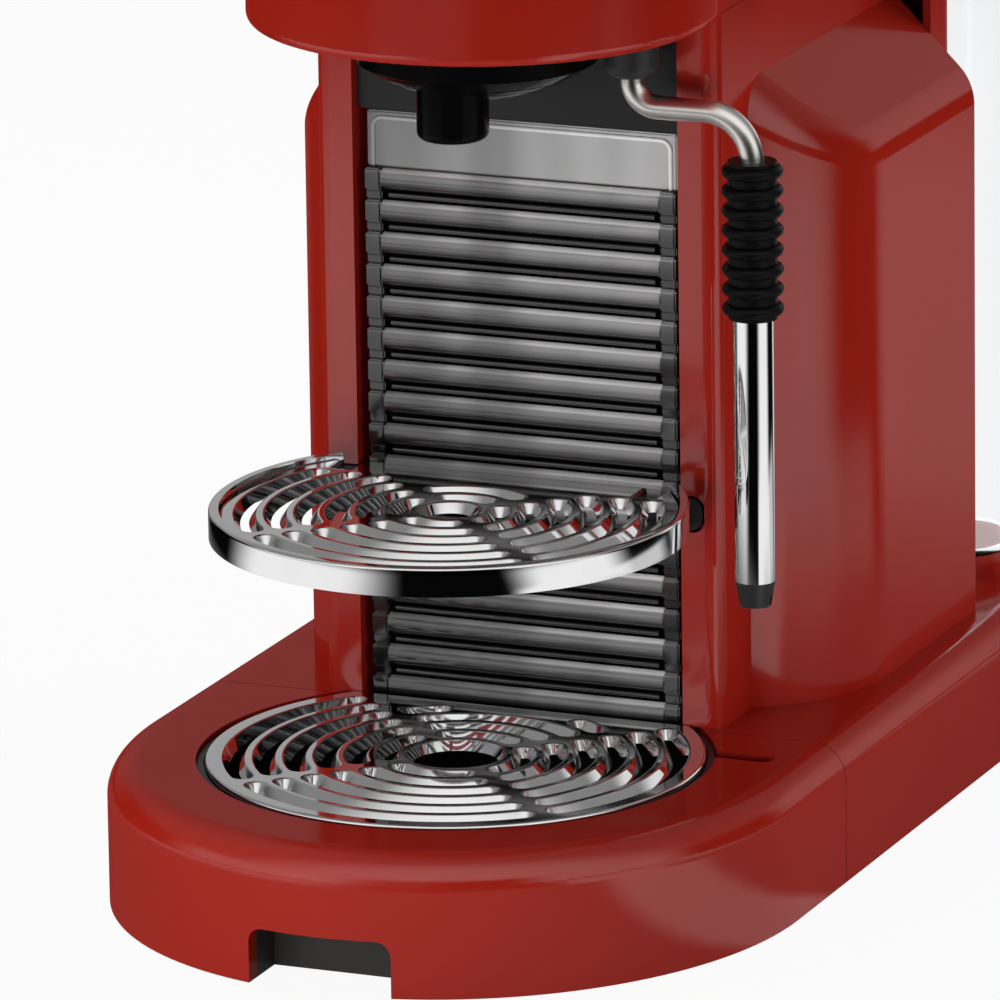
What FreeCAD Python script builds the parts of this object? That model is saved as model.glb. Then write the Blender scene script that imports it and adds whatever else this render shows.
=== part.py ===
import FreeCAD, Part
import math
import os

# Capsule espresso machine, in millimetres: +X to the right, +Y to the back, +Z up.
# Places along Y are measured from the body's datum. The finished pieces are moved
# so that the origin lies on the standing surface, under the middle of the base.

# Fits
press_gap = 0.01
running_fit = 0.06
joint_gap = 0.2
loose_fit = 0.3
sliding_gap = 0.8
cut_over = 1.0
tiny = 0.001

# Base
base_width = 207.0
base_depth = 369.0
base_behind = 184.5
base_nose = 111.0
base_top = 42.0
base_edge_radius = 10.0
base_rear_radius = 34.0
base_lift = 0.3
shell_wall = 2.5
seam_y = -34.0
seam_gap = 0.4
passage_gap = 1.3
passage_back_gap = 3.0
foot_height = 2.0
foot_radius = 8.0
foot_inset = 22.0
plate_thickness = 2.5
runner_inner = 50.0
runner_width = 26.0
runner_setback = 49.5
runner_foot_inset = 13.0

# Base screws
screw_head_radius = 3.6
screw_head_height = 1.4
screw_shank_radius = 1.5
screw_length = 14.0
screw_boss_radius = 5.0
screw_row_x = 85.0
screw_row_start = 2.0
screw_row_pitch = 72.0
screw_row_count = 3

# Front notch and finger groove in the drawer's cover
notch_width = 44.0
notch_height = 17.0
notch_radius = 4.5
notch_depth = 20.6
notch_lip = 8.0
notch_wall = 2.2
groove_width = 7.5
groove_depth = 5.0
groove_reach = 89.0
groove_from_seam = 20.0

# Drip tray and its round grid
grid_radius = 73.3
grid_from_front = 103.5
grid_thickness = 3.0
grid_rise = 0.4
grid_rim = 5.4
grid_rib = 3.0
grid_pitch = 8.9
grid_slots = 6
grid_spoke = 4.5
grid_edge_radius = 0.6
pocket_gap = 2.5
tray_wall = 2.0
tray_ledge = 4.0
tray_drop = 1.4
tray_back_gap = 1.5
drawer_floor_thickness = 2.0

# Capsule container behind the ribbed front
container_width = 98.0
container_front = -28.0
container_depth = 86.0
container_wall = 2.0
container_corner = 3.0
rib_depth = 2.5
rib_height = 6.7
rib_pitch = 9.68
rib_count = 16
rib_end_block = 5.0
window_height = 17.0

# Hinged cup support
cup_radius = 69.7
cup_y = -83.3
cup_top = 118.3
cup_band = 8.5
cup_band_wall = 3.0
cup_band_edge = 1.0
cup_plate = 3.0
cup_plate_drop = 1.8
cup_rim = 4.4
cup_pivot_y = -46.0
cup_pivot_z = 105.5
cup_back_cut = 5.0
cup_pin_radius = 2.0
cup_ear_radius = 3.8
cup_ear_width = 6.0
cup_ear_inset = 1.0
cup_ear_gap = 2.0
cup_lug_width = 5.6
plug_reach = 58.0
plug_bottom = 101.8
plug_top = 111.5
plug_flat = 2.0
pocket_clearance = 0.7

# Posts, neck and bulge of the side shells
bay_half = 51.3
bay_wall = 2.0
neck_half = 63.5
post_front = -31.0
post_radius = 5.0
pocket_boss = 6.0
bay_back = 62.0
bulge_half = 89.0
bulge_radius = 52.0
bulge_straight = 38.0
left_bulge_straight = 31.0
bulge_back = 115.0
bulge_rounding = 16.0
shoulder_drop = 24.4
shoulder_angle = 45.0

# Rear panel between the body and the tank
spine_half = 75.0
spine_back = 136.0
spine_radius = 8.0

# Head with its front panel, the dome under it and the coffee outlet
head_radius = 68.7
head_y = -52.0
head_top = 302.0
head_height = 45.6
head_edge_radius = 10.0
head_lip_radius = 3.0
panel_thickness = 3.0
panel_height = 36.6
panel_set_back = 1.0
bowl_y = -57.0
bowl_radius = 35.0
bowl_sphere = 60.7
bowl_depth = 22.5
bowl_wall = 2.0
bowl_rings = 3
bowl_ring_first = 29.0
bowl_ring_pitch = 4.0
bowl_ring_width = 0.8
outlet_y = -76.0
outlet_radius = 10.5
outlet_drop = 31.1
outlet_lip = 2.5
spout_bore = 3.0

# Steam wand
swivel_x = 43.0
swivel_y = -45.0
pipe_radius = 3.5
pipe_drop = 24.9
pipe_bend = 8.0
pipe_drop_bend = 14.0
wand_x = 80.0
wand_radius = 5.9
wand_length = 78.5
wand_overlap = 8.0
grip_radius = 9.0
grip_valley = 7.2
grip_drop = 13.5
grip_length = 46.5
grip_ribs = 8
tip_length = 7.5
tip_radius = 4.6
tip_notch = 1.6
boot_radius = 8.0
boot_drop = 16.4
collar_radius = 5.5
collar_height = 4.0

# Lever and brew group
lever_pivot_y = 30.0
lever_rise = 6.5
lever_reach = 128.0
lever_half = 30.0
lever_arm = 7.0
lever_height = 7.0
lever_lift = 1.0
lever_bar = 13.0
lever_corner = 6.0
lever_pin_radius = 2.0
lever_boss_radius = 5.5
bracket_width = 6.0
slot_half = 19.0
slot_front = -24.0
slot_back = 12.0
slot_overlap = 2.5
cover_thickness = 2.5
brew_rise = 5.6
frame_inner = 29.0
frame_wall = 3.0
frame_back = 75.0
frame_drop = 40.0
frame_head_gap = 6.0
extract_radius = 26.0
extract_thickness = 7.0
piston_radius = 24.0
piston_front = 14.0
piston_length = 26.0
piston_wing = 12.0
piston_wall = 6.0
duct_half = 7.0
duct_height = 14.0
link_half = 4.0
link_depth = 6.0
link_head_gap = 1.5

# Dials, buttons and steam knob
dial_x = 34.0
dial_y = 85.0
dial_radius = 20.0
dial_height = 12.0
dial_edge_radius = 1.0
dial_collar = 14.0
dial_collar_drop = 6.0
dial_spindle = 3.0
dial_flutes = 24
dial_flute_radius = 1.2
dial_mark_width = 1.6
dial_mark_depth = 0.8
dial_mark_length = 10.0
button_x = 44.0
button_y = 50.0
button_radius = 9.0
button_edge_radius = 0.8
button_rise = 2.6
button_stem = 9.0
button_travel = 2.0
power_y = 108.0
power_radius = 6.0
knob_y = 20.0
knob_drop = 23.0
knob_radius = 18.0
knob_length = 18.0
knob_edge_radius = 2.0
knob_flutes = 18
knob_flute_radius = 1.6
spindle_radius = 4.0
valve_half = 12.0
valve_inner = 34.0
valve_outer = 53.0

# Inner works
pump_y = 90.0
pump_z = 72.0
pump_radius = 17.0
pump_half = 30.0
mount_width = 12.0
mount_half = 16.0
mount_from_middle = 16.0
thermo_half = 34.0
thermo_front = 66.0
thermo_depth = 38.0
thermo_bottom = 108.0
thermo_height = 80.0
thermo_fins = 6
fin_depth = 4.0
fin_width = 5.0
stand_half = 52.0
stand_wall = 2.0
flow_x = 70.0
flow_y = 98.0
flow_radius = 13.0
flow_height = 16.0
flow_stub = 3.0
board_half = 48.0
board_gap = 3.0
board_depth = 48.0
board_thickness = 1.6
board_post_radius = 3.0
hose_radius = 3.0
inlet_x = 62.0
inlet_z = 18.0
inlet_radius = 8.0
inlet_bore = 3.5
inlet_depth = 7.0

# Water tank
tank_half = 84.0
tank_front = 139.0
tank_back = 183.5
tank_bottom = 50.0
tank_top = 230.0
tank_radius = 18.0
tank_wall = 2.0
tank_seat_inset = 3.0
tank_lid_thickness = 5.5
tank_lid_gap = 0.3
lid_pin_radius = 1.5
lid_pin_length = 9.0
lid_ear_x = 60.0
lid_ear_width = 5.0
lid_ear_radius = 2.5
lid_overhang = 0.2
valve_radius = 8.0
valve_flange = 11.0
valve_reach = 6.0

# Derived places of the base and the drawer
base_half = base_width / 2
base_back = base_behind
base_front = base_back - base_depth
plate_bottom = foot_height
plate_top = plate_bottom + plate_thickness
floor_bottom = plate_top + loose_fit
floor_top = floor_bottom + drawer_floor_thickness
runner_front = base_front + runner_setback
grid_y = base_front + grid_from_front
grid_top = base_top + grid_rise
grid_bottom = grid_top - grid_thickness
slot_width = grid_pitch - grid_rib
pocket_radius = grid_radius + pocket_gap
tray_radius = pocket_radius - loose_fit
tray_back = container_front - tray_back_gap
grid_back = tray_back - tray_wall + loose_fit
groove_y = seam_y - groove_from_seam
container_half = container_width / 2
container_back = container_front + container_depth

# Derived places of the head and what hangs from it
head_bottom = head_top - head_height
head_inner_top = head_top - shell_wall
head_floor_top = head_bottom + shell_wall
shell_top = head_bottom - joint_gap
shoulder_top = head_bottom - shoulder_drop
panel_front = container_front + panel_set_back
panel_back = panel_front + panel_thickness
panel_bottom = shell_top - panel_height
container_top = panel_bottom - sliding_gap
bowl_bottom = head_bottom - bowl_depth
bowl_centre = bowl_bottom + bowl_sphere
outlet_bottom = head_bottom - outlet_drop
boot_bottom = head_bottom - boot_drop
boot_top = head_floor_top
boot_seat = boot_top - collar_height - loose_fit
pipe_level = head_bottom - pipe_drop
grip_top = pipe_level - grip_drop
grip_bottom = grip_top - grip_length
wand_bottom = grip_bottom - wand_length
tip_bottom = wand_bottom - tip_length

# Derived places of the cup support, the controls and the works in the head
cup_cut = cup_pivot_y + cup_back_cut
cup_ear_inner = container_half - rib_end_block + cup_ear_inset
cup_ear_outer = cup_ear_inner + cup_ear_width
cup_lug_inner = cup_ear_outer + loose_fit
cup_lug_outer = cup_lug_inner + cup_lug_width
plug_radius = (plug_top - plug_bottom - plug_flat) / 2
lever_pivot_z = head_top + lever_rise
lever_bottom = head_top + lever_lift
brew_z = head_bottom + brew_rise
frame_bottom = brew_z - frame_drop
frame_top = head_top - frame_head_gap
frame_outer = frame_inner + frame_wall
knob_z = head_top - knob_drop
board_front = frame_back + board_gap
board_back = board_front + board_depth
board_top = head_top - button_stem - button_travel - loose_fit
riser_x = -pump_half - mount_width - hose_radius
tank_middle = (tank_front + tank_back) / 2
supply_z = (base_top + tank_bottom) / 2
lid_pivot_y = tank_back - tank_wall - lid_ear_radius / 4
lid_pivot_z = tank_top + tank_lid_gap + tank_lid_thickness / 2


def vec(x, y, z):
    return FreeCAD.Vector(x, y, z)


def box(x0, x1, y0, y1, z0, z1):
    return Part.makeBox(x1 - x0, y1 - y0, z1 - z0, vec(x0, y0, z0))


def rod(radius, start, end):
    return Part.makeCylinder(radius, (end - start).Length, start, end - start)


def post(radius, x, y, z0, z1):
    return rod(radius, vec(x, y, z0), vec(x, y, z1))


def cross_rod(radius, x0, x1, y, z):
    return rod(radius, vec(x0, y, z), vec(x1, y, z))


def long_rod(radius, x, y0, y1, z):
    return rod(radius, vec(x, y0, z), vec(x, y1, z))


def prism(points, direction):
    wire = Part.makePolygon(points + points[:1])
    return Part.Face(wire).extrude(direction)


def fuse(shapes):
    return shapes[0].multiFuse(shapes[1:]).removeSplitter()


def mirrored(shape):
    return shape.mirror(vec(0, 0, 0), vec(1, 0, 0))


def pair(shape):
    return Part.makeCompound([shape, mirrored(shape)])


def edges_at_height(shape, z):
    return [e for e in shape.Edges if all(abs(v.Z - z) < tiny for v in e.Vertexes)]


def edges_along_y(shape):
    found = []
    for edge in shape.Edges:
        ends = [v.Point for v in edge.Vertexes]
        if len(ends) == 2 and abs(ends[0].x - ends[1].x) + abs(ends[0].z - ends[1].z) < tiny:
            found.append(edge)
    return found


def upright_edges(shape):
    found = []
    for edge in shape.Edges:
        ends = [v.Point for v in edge.Vertexes]
        if len(ends) == 2 and abs(ends[0].x - ends[1].x) + abs(ends[0].y - ends[1].y) < tiny:
            found.append(edge)
    return found


def rounded_box(x0, x1, y0, y1, z0, z1, radius):
    block = box(x0, x1, y0, y1, z0, z1)
    return block.makeFillet(radius, upright_edges(block))


def ahead_of(y):
    return box(-base_width, base_width, -2 * base_depth, y, -base_top, 2 * head_top)


def behind(y):
    return box(-base_width, base_width, y, 2 * base_depth, -base_top, 2 * head_top)


# Base outline: a half-elliptic nose, straight sides and a rounded back, moved in by an inset.
def base_outline(inset):
    half = base_half - inset
    nose = base_nose - inset
    nose_y = base_front + base_nose
    back = base_back - inset
    corner = base_rear_radius - inset
    centre = vec(0, nose_y, 0)
    if nose >= half:
        ellipse = Part.Ellipse(vec(0, nose_y - nose, 0), vec(half, nose_y, 0), centre)
        front = Part.ArcOfEllipse(ellipse, -math.pi / 2, math.pi / 2)
    else:
        ellipse = Part.Ellipse(vec(half, nose_y, 0), vec(0, nose_y + nose, 0), centre)
        front = Part.ArcOfEllipse(ellipse, math.pi, 2 * math.pi)
    bend = corner * (1 - math.sqrt(0.5))
    side_end = vec(half, back - corner, 0)
    back_end = vec(half - corner, back, 0)
    right = Part.Arc(side_end, vec(half - bend, back - bend, 0), back_end)
    left_side_end = vec(-half, back - corner, 0)
    left_back_end = vec(corner - half, back, 0)
    left = Part.Arc(left_back_end, vec(bend - half, back - bend, 0), left_side_end)
    edges = [
        front.toShape(),
        Part.makeLine(vec(half, nose_y, 0), side_end),
        right.toShape(),
        Part.makeLine(back_end, left_back_end),
        left.toShape(),
        Part.makeLine(left_side_end, vec(-half, nose_y, 0)),
    ]
    return Part.Face(Part.Wire(Part.__sortEdges__(edges)))


def base_slab(inset, z0, z1):
    face = base_outline(inset)
    face.translate(vec(0, 0, z0))
    return face.extrude(vec(0, 0, z1 - z0))


def base_solid(inset):
    slab = base_slab(inset, base_lift, base_top - inset)
    return slab.makeFillet(base_edge_radius - inset, edges_at_height(slab, base_top - inset))


def base_shell():
    inner = base_solid(shell_wall)
    skirt = base_slab(shell_wall, base_lift - cut_over, base_lift + cut_over)
    return base_solid(0).cut(inner).cut(skirt)


def screw_places():
    rows = [screw_row_start + row * screw_row_pitch for row in range(screw_row_count)]
    return [(side * screw_row_x, y) for side in (-1, 1) for y in rows]


def rear_base_shell():
    shell = base_shell().common(behind(seam_y + seam_gap))
    half = container_half + passage_gap
    back = container_back + passage_back_gap
    shell = shell.cut(box(-half, half, seam_y, back, plate_bottom, base_top + cut_over))
    pocket = post(pocket_radius, 0, grid_y, floor_top, base_top + cut_over)
    shell = shell.cut(pocket.common(ahead_of(tray_back + loose_fit)))
    bosses = []
    for x, y in screw_places():
        bosses.append(post(screw_boss_radius, x, y, plate_top, base_top - shell_wall))
    shell = fuse([shell] + bosses)
    bore = screw_shank_radius + running_fit
    for x, y in screw_places():
        shell = shell.cut(post(bore, x, y, plate_top - cut_over, plate_top + screw_length))
    gland_front = base_back - 2 * shell_wall
    return shell.cut(long_rod(inlet_radius + joint_gap, inlet_x, gland_front, base_back + cut_over, inlet_z))


def base_plate():
    plate = base_slab(shell_wall + loose_fit, plate_bottom, plate_top)
    plate = plate.common(behind(seam_y + seam_gap))
    runner_outer = runner_inner + runner_width
    runner = box(runner_inner, runner_outer, runner_front, seam_y + cut_over, plate_bottom, plate_top)
    plate = fuse([plate, runner, mirrored(runner)])
    head_seat = plate_bottom + screw_head_height
    for x, y in screw_places():
        plate = plate.cut(post(screw_shank_radius + loose_fit, x, y, 0, base_top))
        plate = plate.cut(post(screw_head_radius + loose_fit, x, y, 0, head_seat))
    return plate


def foot_places():
    front_x = runner_inner + runner_width / 2
    front_y = runner_front + runner_foot_inset
    rear_x = base_half - foot_inset
    rear_y = base_back - foot_inset
    corners = [(front_x, front_y), (rear_x, rear_y)]
    return [(side * x, y) for x, y in corners for side in (-1, 1)]


def rubber_feet():
    return Part.makeCompound([post(foot_radius, x, y, 0, foot_height) for x, y in foot_places()])


def base_screws():
    screws = []
    for x, y in screw_places():
        head = post(screw_head_radius, x, y, plate_bottom, plate_bottom + screw_head_height)
        shank = post(screw_shank_radius, x, y, plate_bottom, plate_bottom + screw_length)
        screws.append(fuse([head, shank]))
    return Part.makeCompound(screws)


def power_inlet():
    front = base_back - inlet_depth
    gland = long_rod(inlet_radius, inlet_x, front, base_back, inlet_z)
    return gland.cut(long_rod(inlet_bore, inlet_x, front, base_back + cut_over, inlet_z))


# Front drawer: cover, floor, notch liner, drip tray and capsule container.
def notch_tunnel(grow, y0, y1):
    half = notch_width / 2 + grow
    top = notch_height + grow
    block = box(-half, half, y0, y1, -base_top, top)
    brow = [e for e in edges_along_y(block) if e.Vertexes[0].Z > top - tiny]
    block = block.makeFillet(notch_radius + grow, brow)
    return block.common(box(-base_width, base_width, y0, y1, base_lift, base_top))


def groove_cut(grow, depth):
    half = groove_width / 2 + grow
    outer = groove_reach + grow - half
    top = base_top + cut_over
    inner = grid_radius - groove_width
    run = box(inner, outer, groove_y - half, groove_y + half, base_top - depth, top)
    return run.fuse(post(half, outer, groove_y, base_top - depth, top))


def front_base_cover():
    cover = base_shell().common(ahead_of(seam_y))
    body = base_solid(0).common(ahead_of(seam_y))
    start = base_front - cut_over
    lip = notch_tunnel(notch_wall, start, base_front + notch_lip).common(body)
    trough = groove_cut(shell_wall, groove_depth + shell_wall).common(body)
    cover = fuse([cover, lip, trough])
    cover = cover.cut(notch_tunnel(0, start, base_front + notch_depth))
    cover = cover.cut(groove_cut(0, groove_depth))
    return cover.cut(post(pocket_radius, 0, grid_y, floor_top, base_top + cut_over))


def notch_liner():
    back = base_front + notch_depth + notch_wall
    liner = notch_tunnel(notch_wall, base_front + notch_lip, back)
    return liner.cut(notch_tunnel(0, base_front, base_front + notch_depth))


def drawer_floor():
    inset = shell_wall + loose_fit
    plate = base_slab(inset, floor_bottom, floor_top).common(ahead_of(seam_y))
    front = seam_y - cut_over
    tongue = box(-container_half, container_half, front, container_back, floor_bottom, floor_top)
    notch_back = base_front + notch_depth + notch_wall + joint_gap
    notch = notch_tunnel(notch_wall + joint_gap, base_front - cut_over, notch_back)
    return fuse([plate, tongue]).cut(notch)


def drip_tray():
    top = base_top - tray_drop
    body = post(tray_radius, 0, grid_y, floor_top, top).common(ahead_of(tray_back))
    rim = tray_wall + tray_ledge
    inner = post(tray_radius - rim, 0, grid_y, floor_top + tray_wall, top + cut_over)
    body = body.cut(inner.common(ahead_of(tray_back - rim)))
    seat = post(grid_radius + loose_fit, 0, grid_y, grid_bottom, top + cut_over)
    return body.cut(seat.common(ahead_of(grid_back + loose_fit)))


# One slot along a ring, round at both ends, between two angles of its end centres.
def ring_slot(y, middle, start, end, z0, z1):
    half = slot_width / 2

    def spot(angle, radius, ahead):
        x = radius * math.cos(angle) - ahead * math.sin(angle)
        return vec(x, y + radius * math.sin(angle) + ahead * math.cos(angle), z0)

    bend = (start + end) / 2
    outer = middle + half
    inner = middle - half
    edges = [
        Part.Arc(spot(start, outer, 0), spot(bend, outer, 0), spot(end, outer, 0)).toShape(),
        Part.Arc(spot(end, outer, 0), spot(end, middle, half), spot(end, inner, 0)).toShape(),
        Part.Arc(spot(end, inner, 0), spot(bend, inner, 0), spot(start, inner, 0)).toShape(),
        Part.Arc(spot(start, inner, 0), spot(start, middle, -half), spot(start, outer, 0)).toShape(),
    ]
    return Part.Face(Part.Wire(edges)).extrude(vec(0, 0, z1 - z0))


# A round plate with ring slots between four spokes. Its straight back keeps a rim as wide as the round one.
def slotted_plate(radius, y, rim, back, z0, z1):
    plate = post(radius, 0, y, z0, z1).common(ahead_of(back))
    low = z0 - cut_over
    high = z1 + cut_over
    reach = back - rim - y
    half = slot_width / 2
    quarter = math.pi / 2
    middle = radius - rim - half
    slots = []
    for _ in range(grid_slots):
        spoke = math.asin((grid_spoke / 2 + half) / middle)
        first = spoke - quarter / 2
        last = quarter / 2 - spoke
        slots.append(ring_slot(y, middle, first - quarter, last - quarter, low, high))
        if middle + half < reach:
            slots.append(ring_slot(y, middle, first + quarter, last + quarter, low, high))
        else:
            stop = math.asin(min(1, (reach - half) / middle))
            last = min(last, stop)
            if stop > first + quarter:
                short = ring_slot(y, middle, first + quarter, stop, low, high)
                slots += [short, mirrored(short)]
        side = ring_slot(y, middle, first, last, low, high)
        slots += [side, mirrored(side)]
        middle -= grid_pitch
    hole = post(middle + half, 0, y, low, high)
    body = plate.cut(Part.makeCompound(slots)).cut(hole)
    return body.makeFillet(grid_edge_radius, edges_at_height(body, z1))


def drip_grid():
    return slotted_plate(grid_radius, grid_y, grid_rim, grid_back, grid_bottom, grid_top)


def rib_bar(z):
    start = vec(-container_half, container_front + rib_depth, z - rib_height / 2)
    crest = vec(-container_half, container_front, z)
    end = vec(-container_half, container_front + rib_depth, z + rib_height / 2)
    section = Part.Wire([Part.Arc(start, crest, end).toShape(), Part.makeLine(end, start)])
    return Part.Face(section).extrude(vec(container_width, 0, 0))


def capsule_container():
    half = container_half
    face = container_front + rib_depth
    body = box(-half, half, face, container_back, floor_top, container_top)
    inner = half - container_wall
    inner_front = face + container_wall
    inner_back = container_back - container_wall
    inner_floor = floor_top + container_wall
    body = body.cut(box(-inner, inner, inner_front, inner_back, inner_floor, container_top + cut_over))
    block = box(half - rib_end_block, half, container_front, face, floor_top, container_top)
    brow = box(-half, half, container_front, face, container_top - rib_depth, container_top)
    pieces = [body, block, mirrored(block), brow]
    first = container_top - window_height - rib_height / 2
    for index in range(rib_count):
        pieces.append(rib_bar(first - index * rib_pitch))
    outline = box(-half, half, container_front, container_back, floor_top, container_top)
    top = [e for e in edges_along_y(outline) if e.Vertexes[0].Z > container_top - tiny]
    return fuse(pieces).common(outline.makeFillet(container_corner, top))


# A block whose two right-hand edges along Y are rounded.
def plug_block(x0, y0, y1, grow):
    x1 = plug_reach + grow
    block = box(x0, x1, y0, y1, plug_bottom - grow, plug_top + grow)
    outer = [e for e in edges_along_y(block) if e.Vertexes[0].X > x1 - tiny]
    return block.makeFillet(plug_radius, outer)


def cup_brackets():
    low = cup_pivot_z - cup_ear_radius
    high = cup_pivot_z + cup_ear_radius
    ear = box(cup_ear_inner, cup_ear_outer, cup_pivot_y, container_front, low, high)
    nose = cross_rod(cup_ear_radius, cup_ear_inner, cup_ear_outer, cup_pivot_y, cup_pivot_z)
    plug_back = post_front + pocket_boss - 2 * pocket_clearance
    plug = plug_block(bay_half, post_front, plug_back, 0)
    web = box(cup_ear_inner, bay_half, post_front, container_front, plug_bottom, plug_top)
    bore = cross_rod(cup_pin_radius + running_fit, 0, bay_half, cup_pivot_y, cup_pivot_z)
    return pair(fuse([ear, nose, web, plug]).cut(bore))


def cup_support_rim():
    bottom = cup_top - cup_band
    band = post(cup_radius, 0, cup_y, bottom, cup_top)
    band = band.makeFillet(cup_band_edge, edges_at_height(band, cup_top))
    inner = cup_radius - cup_band_wall
    band = band.cut(post(inner, 0, cup_y, bottom - cut_over, cup_top + cut_over))
    return band.common(ahead_of(cup_cut))


def cup_support_grid():
    top = cup_top - cup_plate_drop
    bottom = top - cup_plate
    radius = cup_radius - cup_band_wall
    plate = slotted_plate(radius, cup_y, cup_rim, cup_cut, bottom, top)
    ear_front = cup_pivot_y - cup_ear_radius - cup_ear_gap
    x0 = cup_ear_inner - loose_fit
    x1 = cup_ear_outer + loose_fit
    notch = box(x0, x1, ear_front, cup_cut + cut_over, bottom - cut_over, top + cut_over)
    plate = plate.cut(notch).cut(mirrored(notch))
    front = cup_pivot_y - cup_ear_radius
    back = cup_pivot_y + cup_ear_radius
    middle = (bottom + top) / 2
    lug = box(cup_lug_inner, cup_lug_outer, front, back, cup_pivot_z, middle)
    boss = cross_rod(cup_ear_radius, cup_lug_inner, cup_lug_outer, cup_pivot_y, cup_pivot_z)
    lug = lug.fuse(boss).cut(cup_pin(press_gap))
    lug = lug.common(post(radius, 0, cup_y, 0, cup_top))
    return fuse([plate, lug, mirrored(lug)])


def cup_pin(grow):
    return cross_rod(cup_pin_radius + grow, cup_ear_inner, cup_lug_outer, cup_pivot_y, cup_pivot_z)


def cup_hinge_pins():
    return pair(cup_pin(0))


# Side shells: a post beside the container, a flat neck and a bulge with a sloped shoulder.
# The bulge's round front ends at straight, and the left one lies further forward.
def bulge_solid(inset, straight):
    half = bulge_half - inset
    radius = bulge_radius - inset
    centre_x = bulge_half - bulge_radius
    inner = bay_half + bay_wall
    start_x = neck_half - shell_wall
    corner_y = straight - math.sqrt(radius ** 2 - (start_x - centre_x) ** 2)
    middle = math.atan2(corner_y - straight, start_x - centre_x) / 2
    bend = vec(centre_x + radius * math.cos(middle), straight + radius * math.sin(middle), 0)
    back = bulge_back - inset
    start = vec(start_x, corner_y, 0)
    end = vec(half, straight, 0)
    edges = [
        Part.Arc(start, bend, end).toShape(),
        Part.makeLine(end, vec(half, back, 0)),
        Part.makeLine(vec(half, back, 0), vec(inner, back, 0)),
        Part.makeLine(vec(inner, back, 0), vec(inner, corner_y, 0)),
        Part.makeLine(vec(inner, corner_y, 0), start),
    ]
    plan = Part.Face(Part.Wire(edges))
    plan.translate(vec(0, 0, base_top))
    body = plan.extrude(vec(0, 0, head_top - base_top))
    slope = math.tan(math.radians(shoulder_angle))
    drop = inset / math.cos(math.radians(shoulder_angle))
    crest = shoulder_top + neck_half * slope - drop
    reach = bulge_half * 2
    corners = [(0, crest), (reach, crest - reach * slope), (reach, 2 * head_top), (0, 2 * head_top)]
    wedge = prism([vec(x, -base_depth, z) for x, z in corners], vec(0, 2 * base_depth, 0))
    body = body.cut(wedge)
    ridge = []
    for edge in body.Edges:
        ends = [v.Point for v in edge.Vertexes]
        on_slope = all(abs(p.z + p.x * slope - crest) < tiny for p in ends)
        at_back = all(p.y > back - tiny for p in ends)
        at_neck = all(p.x < start_x + tiny for p in ends)
        if on_slope and not at_back and not at_neck:
            ridge.append(edge)
    return body.makeFillet(bulge_rounding - inset, ridge)


def side_shell(straight):
    neck = box(bay_half, neck_half, post_front, bulge_back, base_top, shell_top)
    front = [e for e in upright_edges(neck) if e.Vertexes[0].Y < post_front + tiny]
    front = [e for e in front if e.Vertexes[0].X > neck_half - tiny]
    neck = neck.makeFillet(post_radius, front)
    body = fuse([neck, bulge_solid(0, straight)])
    low = base_top - cut_over
    high = shell_top + cut_over
    outer = neck_half - shell_wall
    cavity = box(bay_half + bay_wall, outer, post_front + shell_wall, bay_back, low, high)
    rear = box(bay_half - cut_over, outer, bay_back, bulge_back - shell_wall, low, high)
    hollow = fuse([bulge_solid(shell_wall, straight), cavity, rear])
    boss_back = post_front + pocket_boss + shell_wall
    boss_low = plug_bottom - 2 * shell_wall
    boss_high = plug_top + 2 * shell_wall
    boss = box(bay_half, neck_half, post_front, boss_back, boss_low, boss_high)
    body = body.cut(hollow.cut(boss))
    pocket_back = post_front + pocket_boss
    return body.cut(plug_block(bay_half - cut_over, post_front - cut_over, pocket_back, pocket_clearance))


def rear_panel():
    front = bulge_back + joint_gap
    start = front - spine_radius
    body = rounded_box(-spine_half, spine_half, start, spine_back, base_top, shell_top, spine_radius)
    body = body.common(behind(front))
    inner = spine_half - shell_wall
    inner_back = spine_back - shell_wall
    inner_top = shell_top - shell_wall
    body = body.cut(box(-inner, inner, front - cut_over, inner_back, base_top - cut_over, inner_top))
    return body.cut(long_rod(hose_radius + loose_fit, 0, front, spine_back + cut_over, supply_z))


# Head: a round front on the straight neck, with a floor at the front only.
def head_solid(inset, z0, z1):
    front = post(head_radius - inset, 0, head_y, z0, z1)
    half = neck_half - inset
    corner = spine_radius - inset
    beam = rounded_box(-half, half, head_y - spine_radius, spine_back - inset, z0, z1, corner)
    return fuse([front, beam.common(behind(head_y))])


def head_shell():
    body = head_solid(0, head_bottom, head_top)
    body = body.makeFillet(head_edge_radius, edges_at_height(body, head_top))
    lip = [e for e in edges_at_height(body, head_bottom) if e.CenterOfMass.y < head_y]
    body = body.makeFillet(head_lip_radius, lip)
    inner = head_solid(shell_wall, head_floor_top, head_inner_top)
    inner = inner.makeFillet(head_edge_radius - shell_wall, edges_at_height(inner, head_inner_top))
    body = body.cut(inner)
    inside = neck_half - shell_wall
    low = head_bottom - cut_over
    floor = head_floor_top + cut_over
    body = body.cut(box(-inside, inside, panel_back, spine_back - shell_wall, low, floor))
    posts = []
    for x, y in board_post_places():
        posts.append(post(board_post_radius, x, y, board_top, head_inner_top))
    body = fuse([body] + posts)
    body = body.cut(post(bowl_radius + joint_gap, 0, bowl_y, low, floor))
    body = body.cut(post(boot_radius + joint_gap, swivel_x, swivel_y, low, floor))
    ceiling = head_inner_top - cut_over
    high = head_top + cut_over
    body = body.cut(box(-slot_half, slot_half, slot_front, slot_back, ceiling, high))
    for side in (-1, 1):
        body = body.cut(post(dial_collar + running_fit, side * dial_x, dial_y, ceiling, high))
        body = body.cut(post(button_radius + loose_fit, side * button_x, button_y, ceiling, high))
    body = body.cut(post(power_radius + loose_fit, 0, power_y, ceiling, high))
    bore = spindle_radius + running_fit
    return body.cut(cross_rod(bore, inside - cut_over, neck_half + cut_over, knob_y, knob_z))


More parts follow.
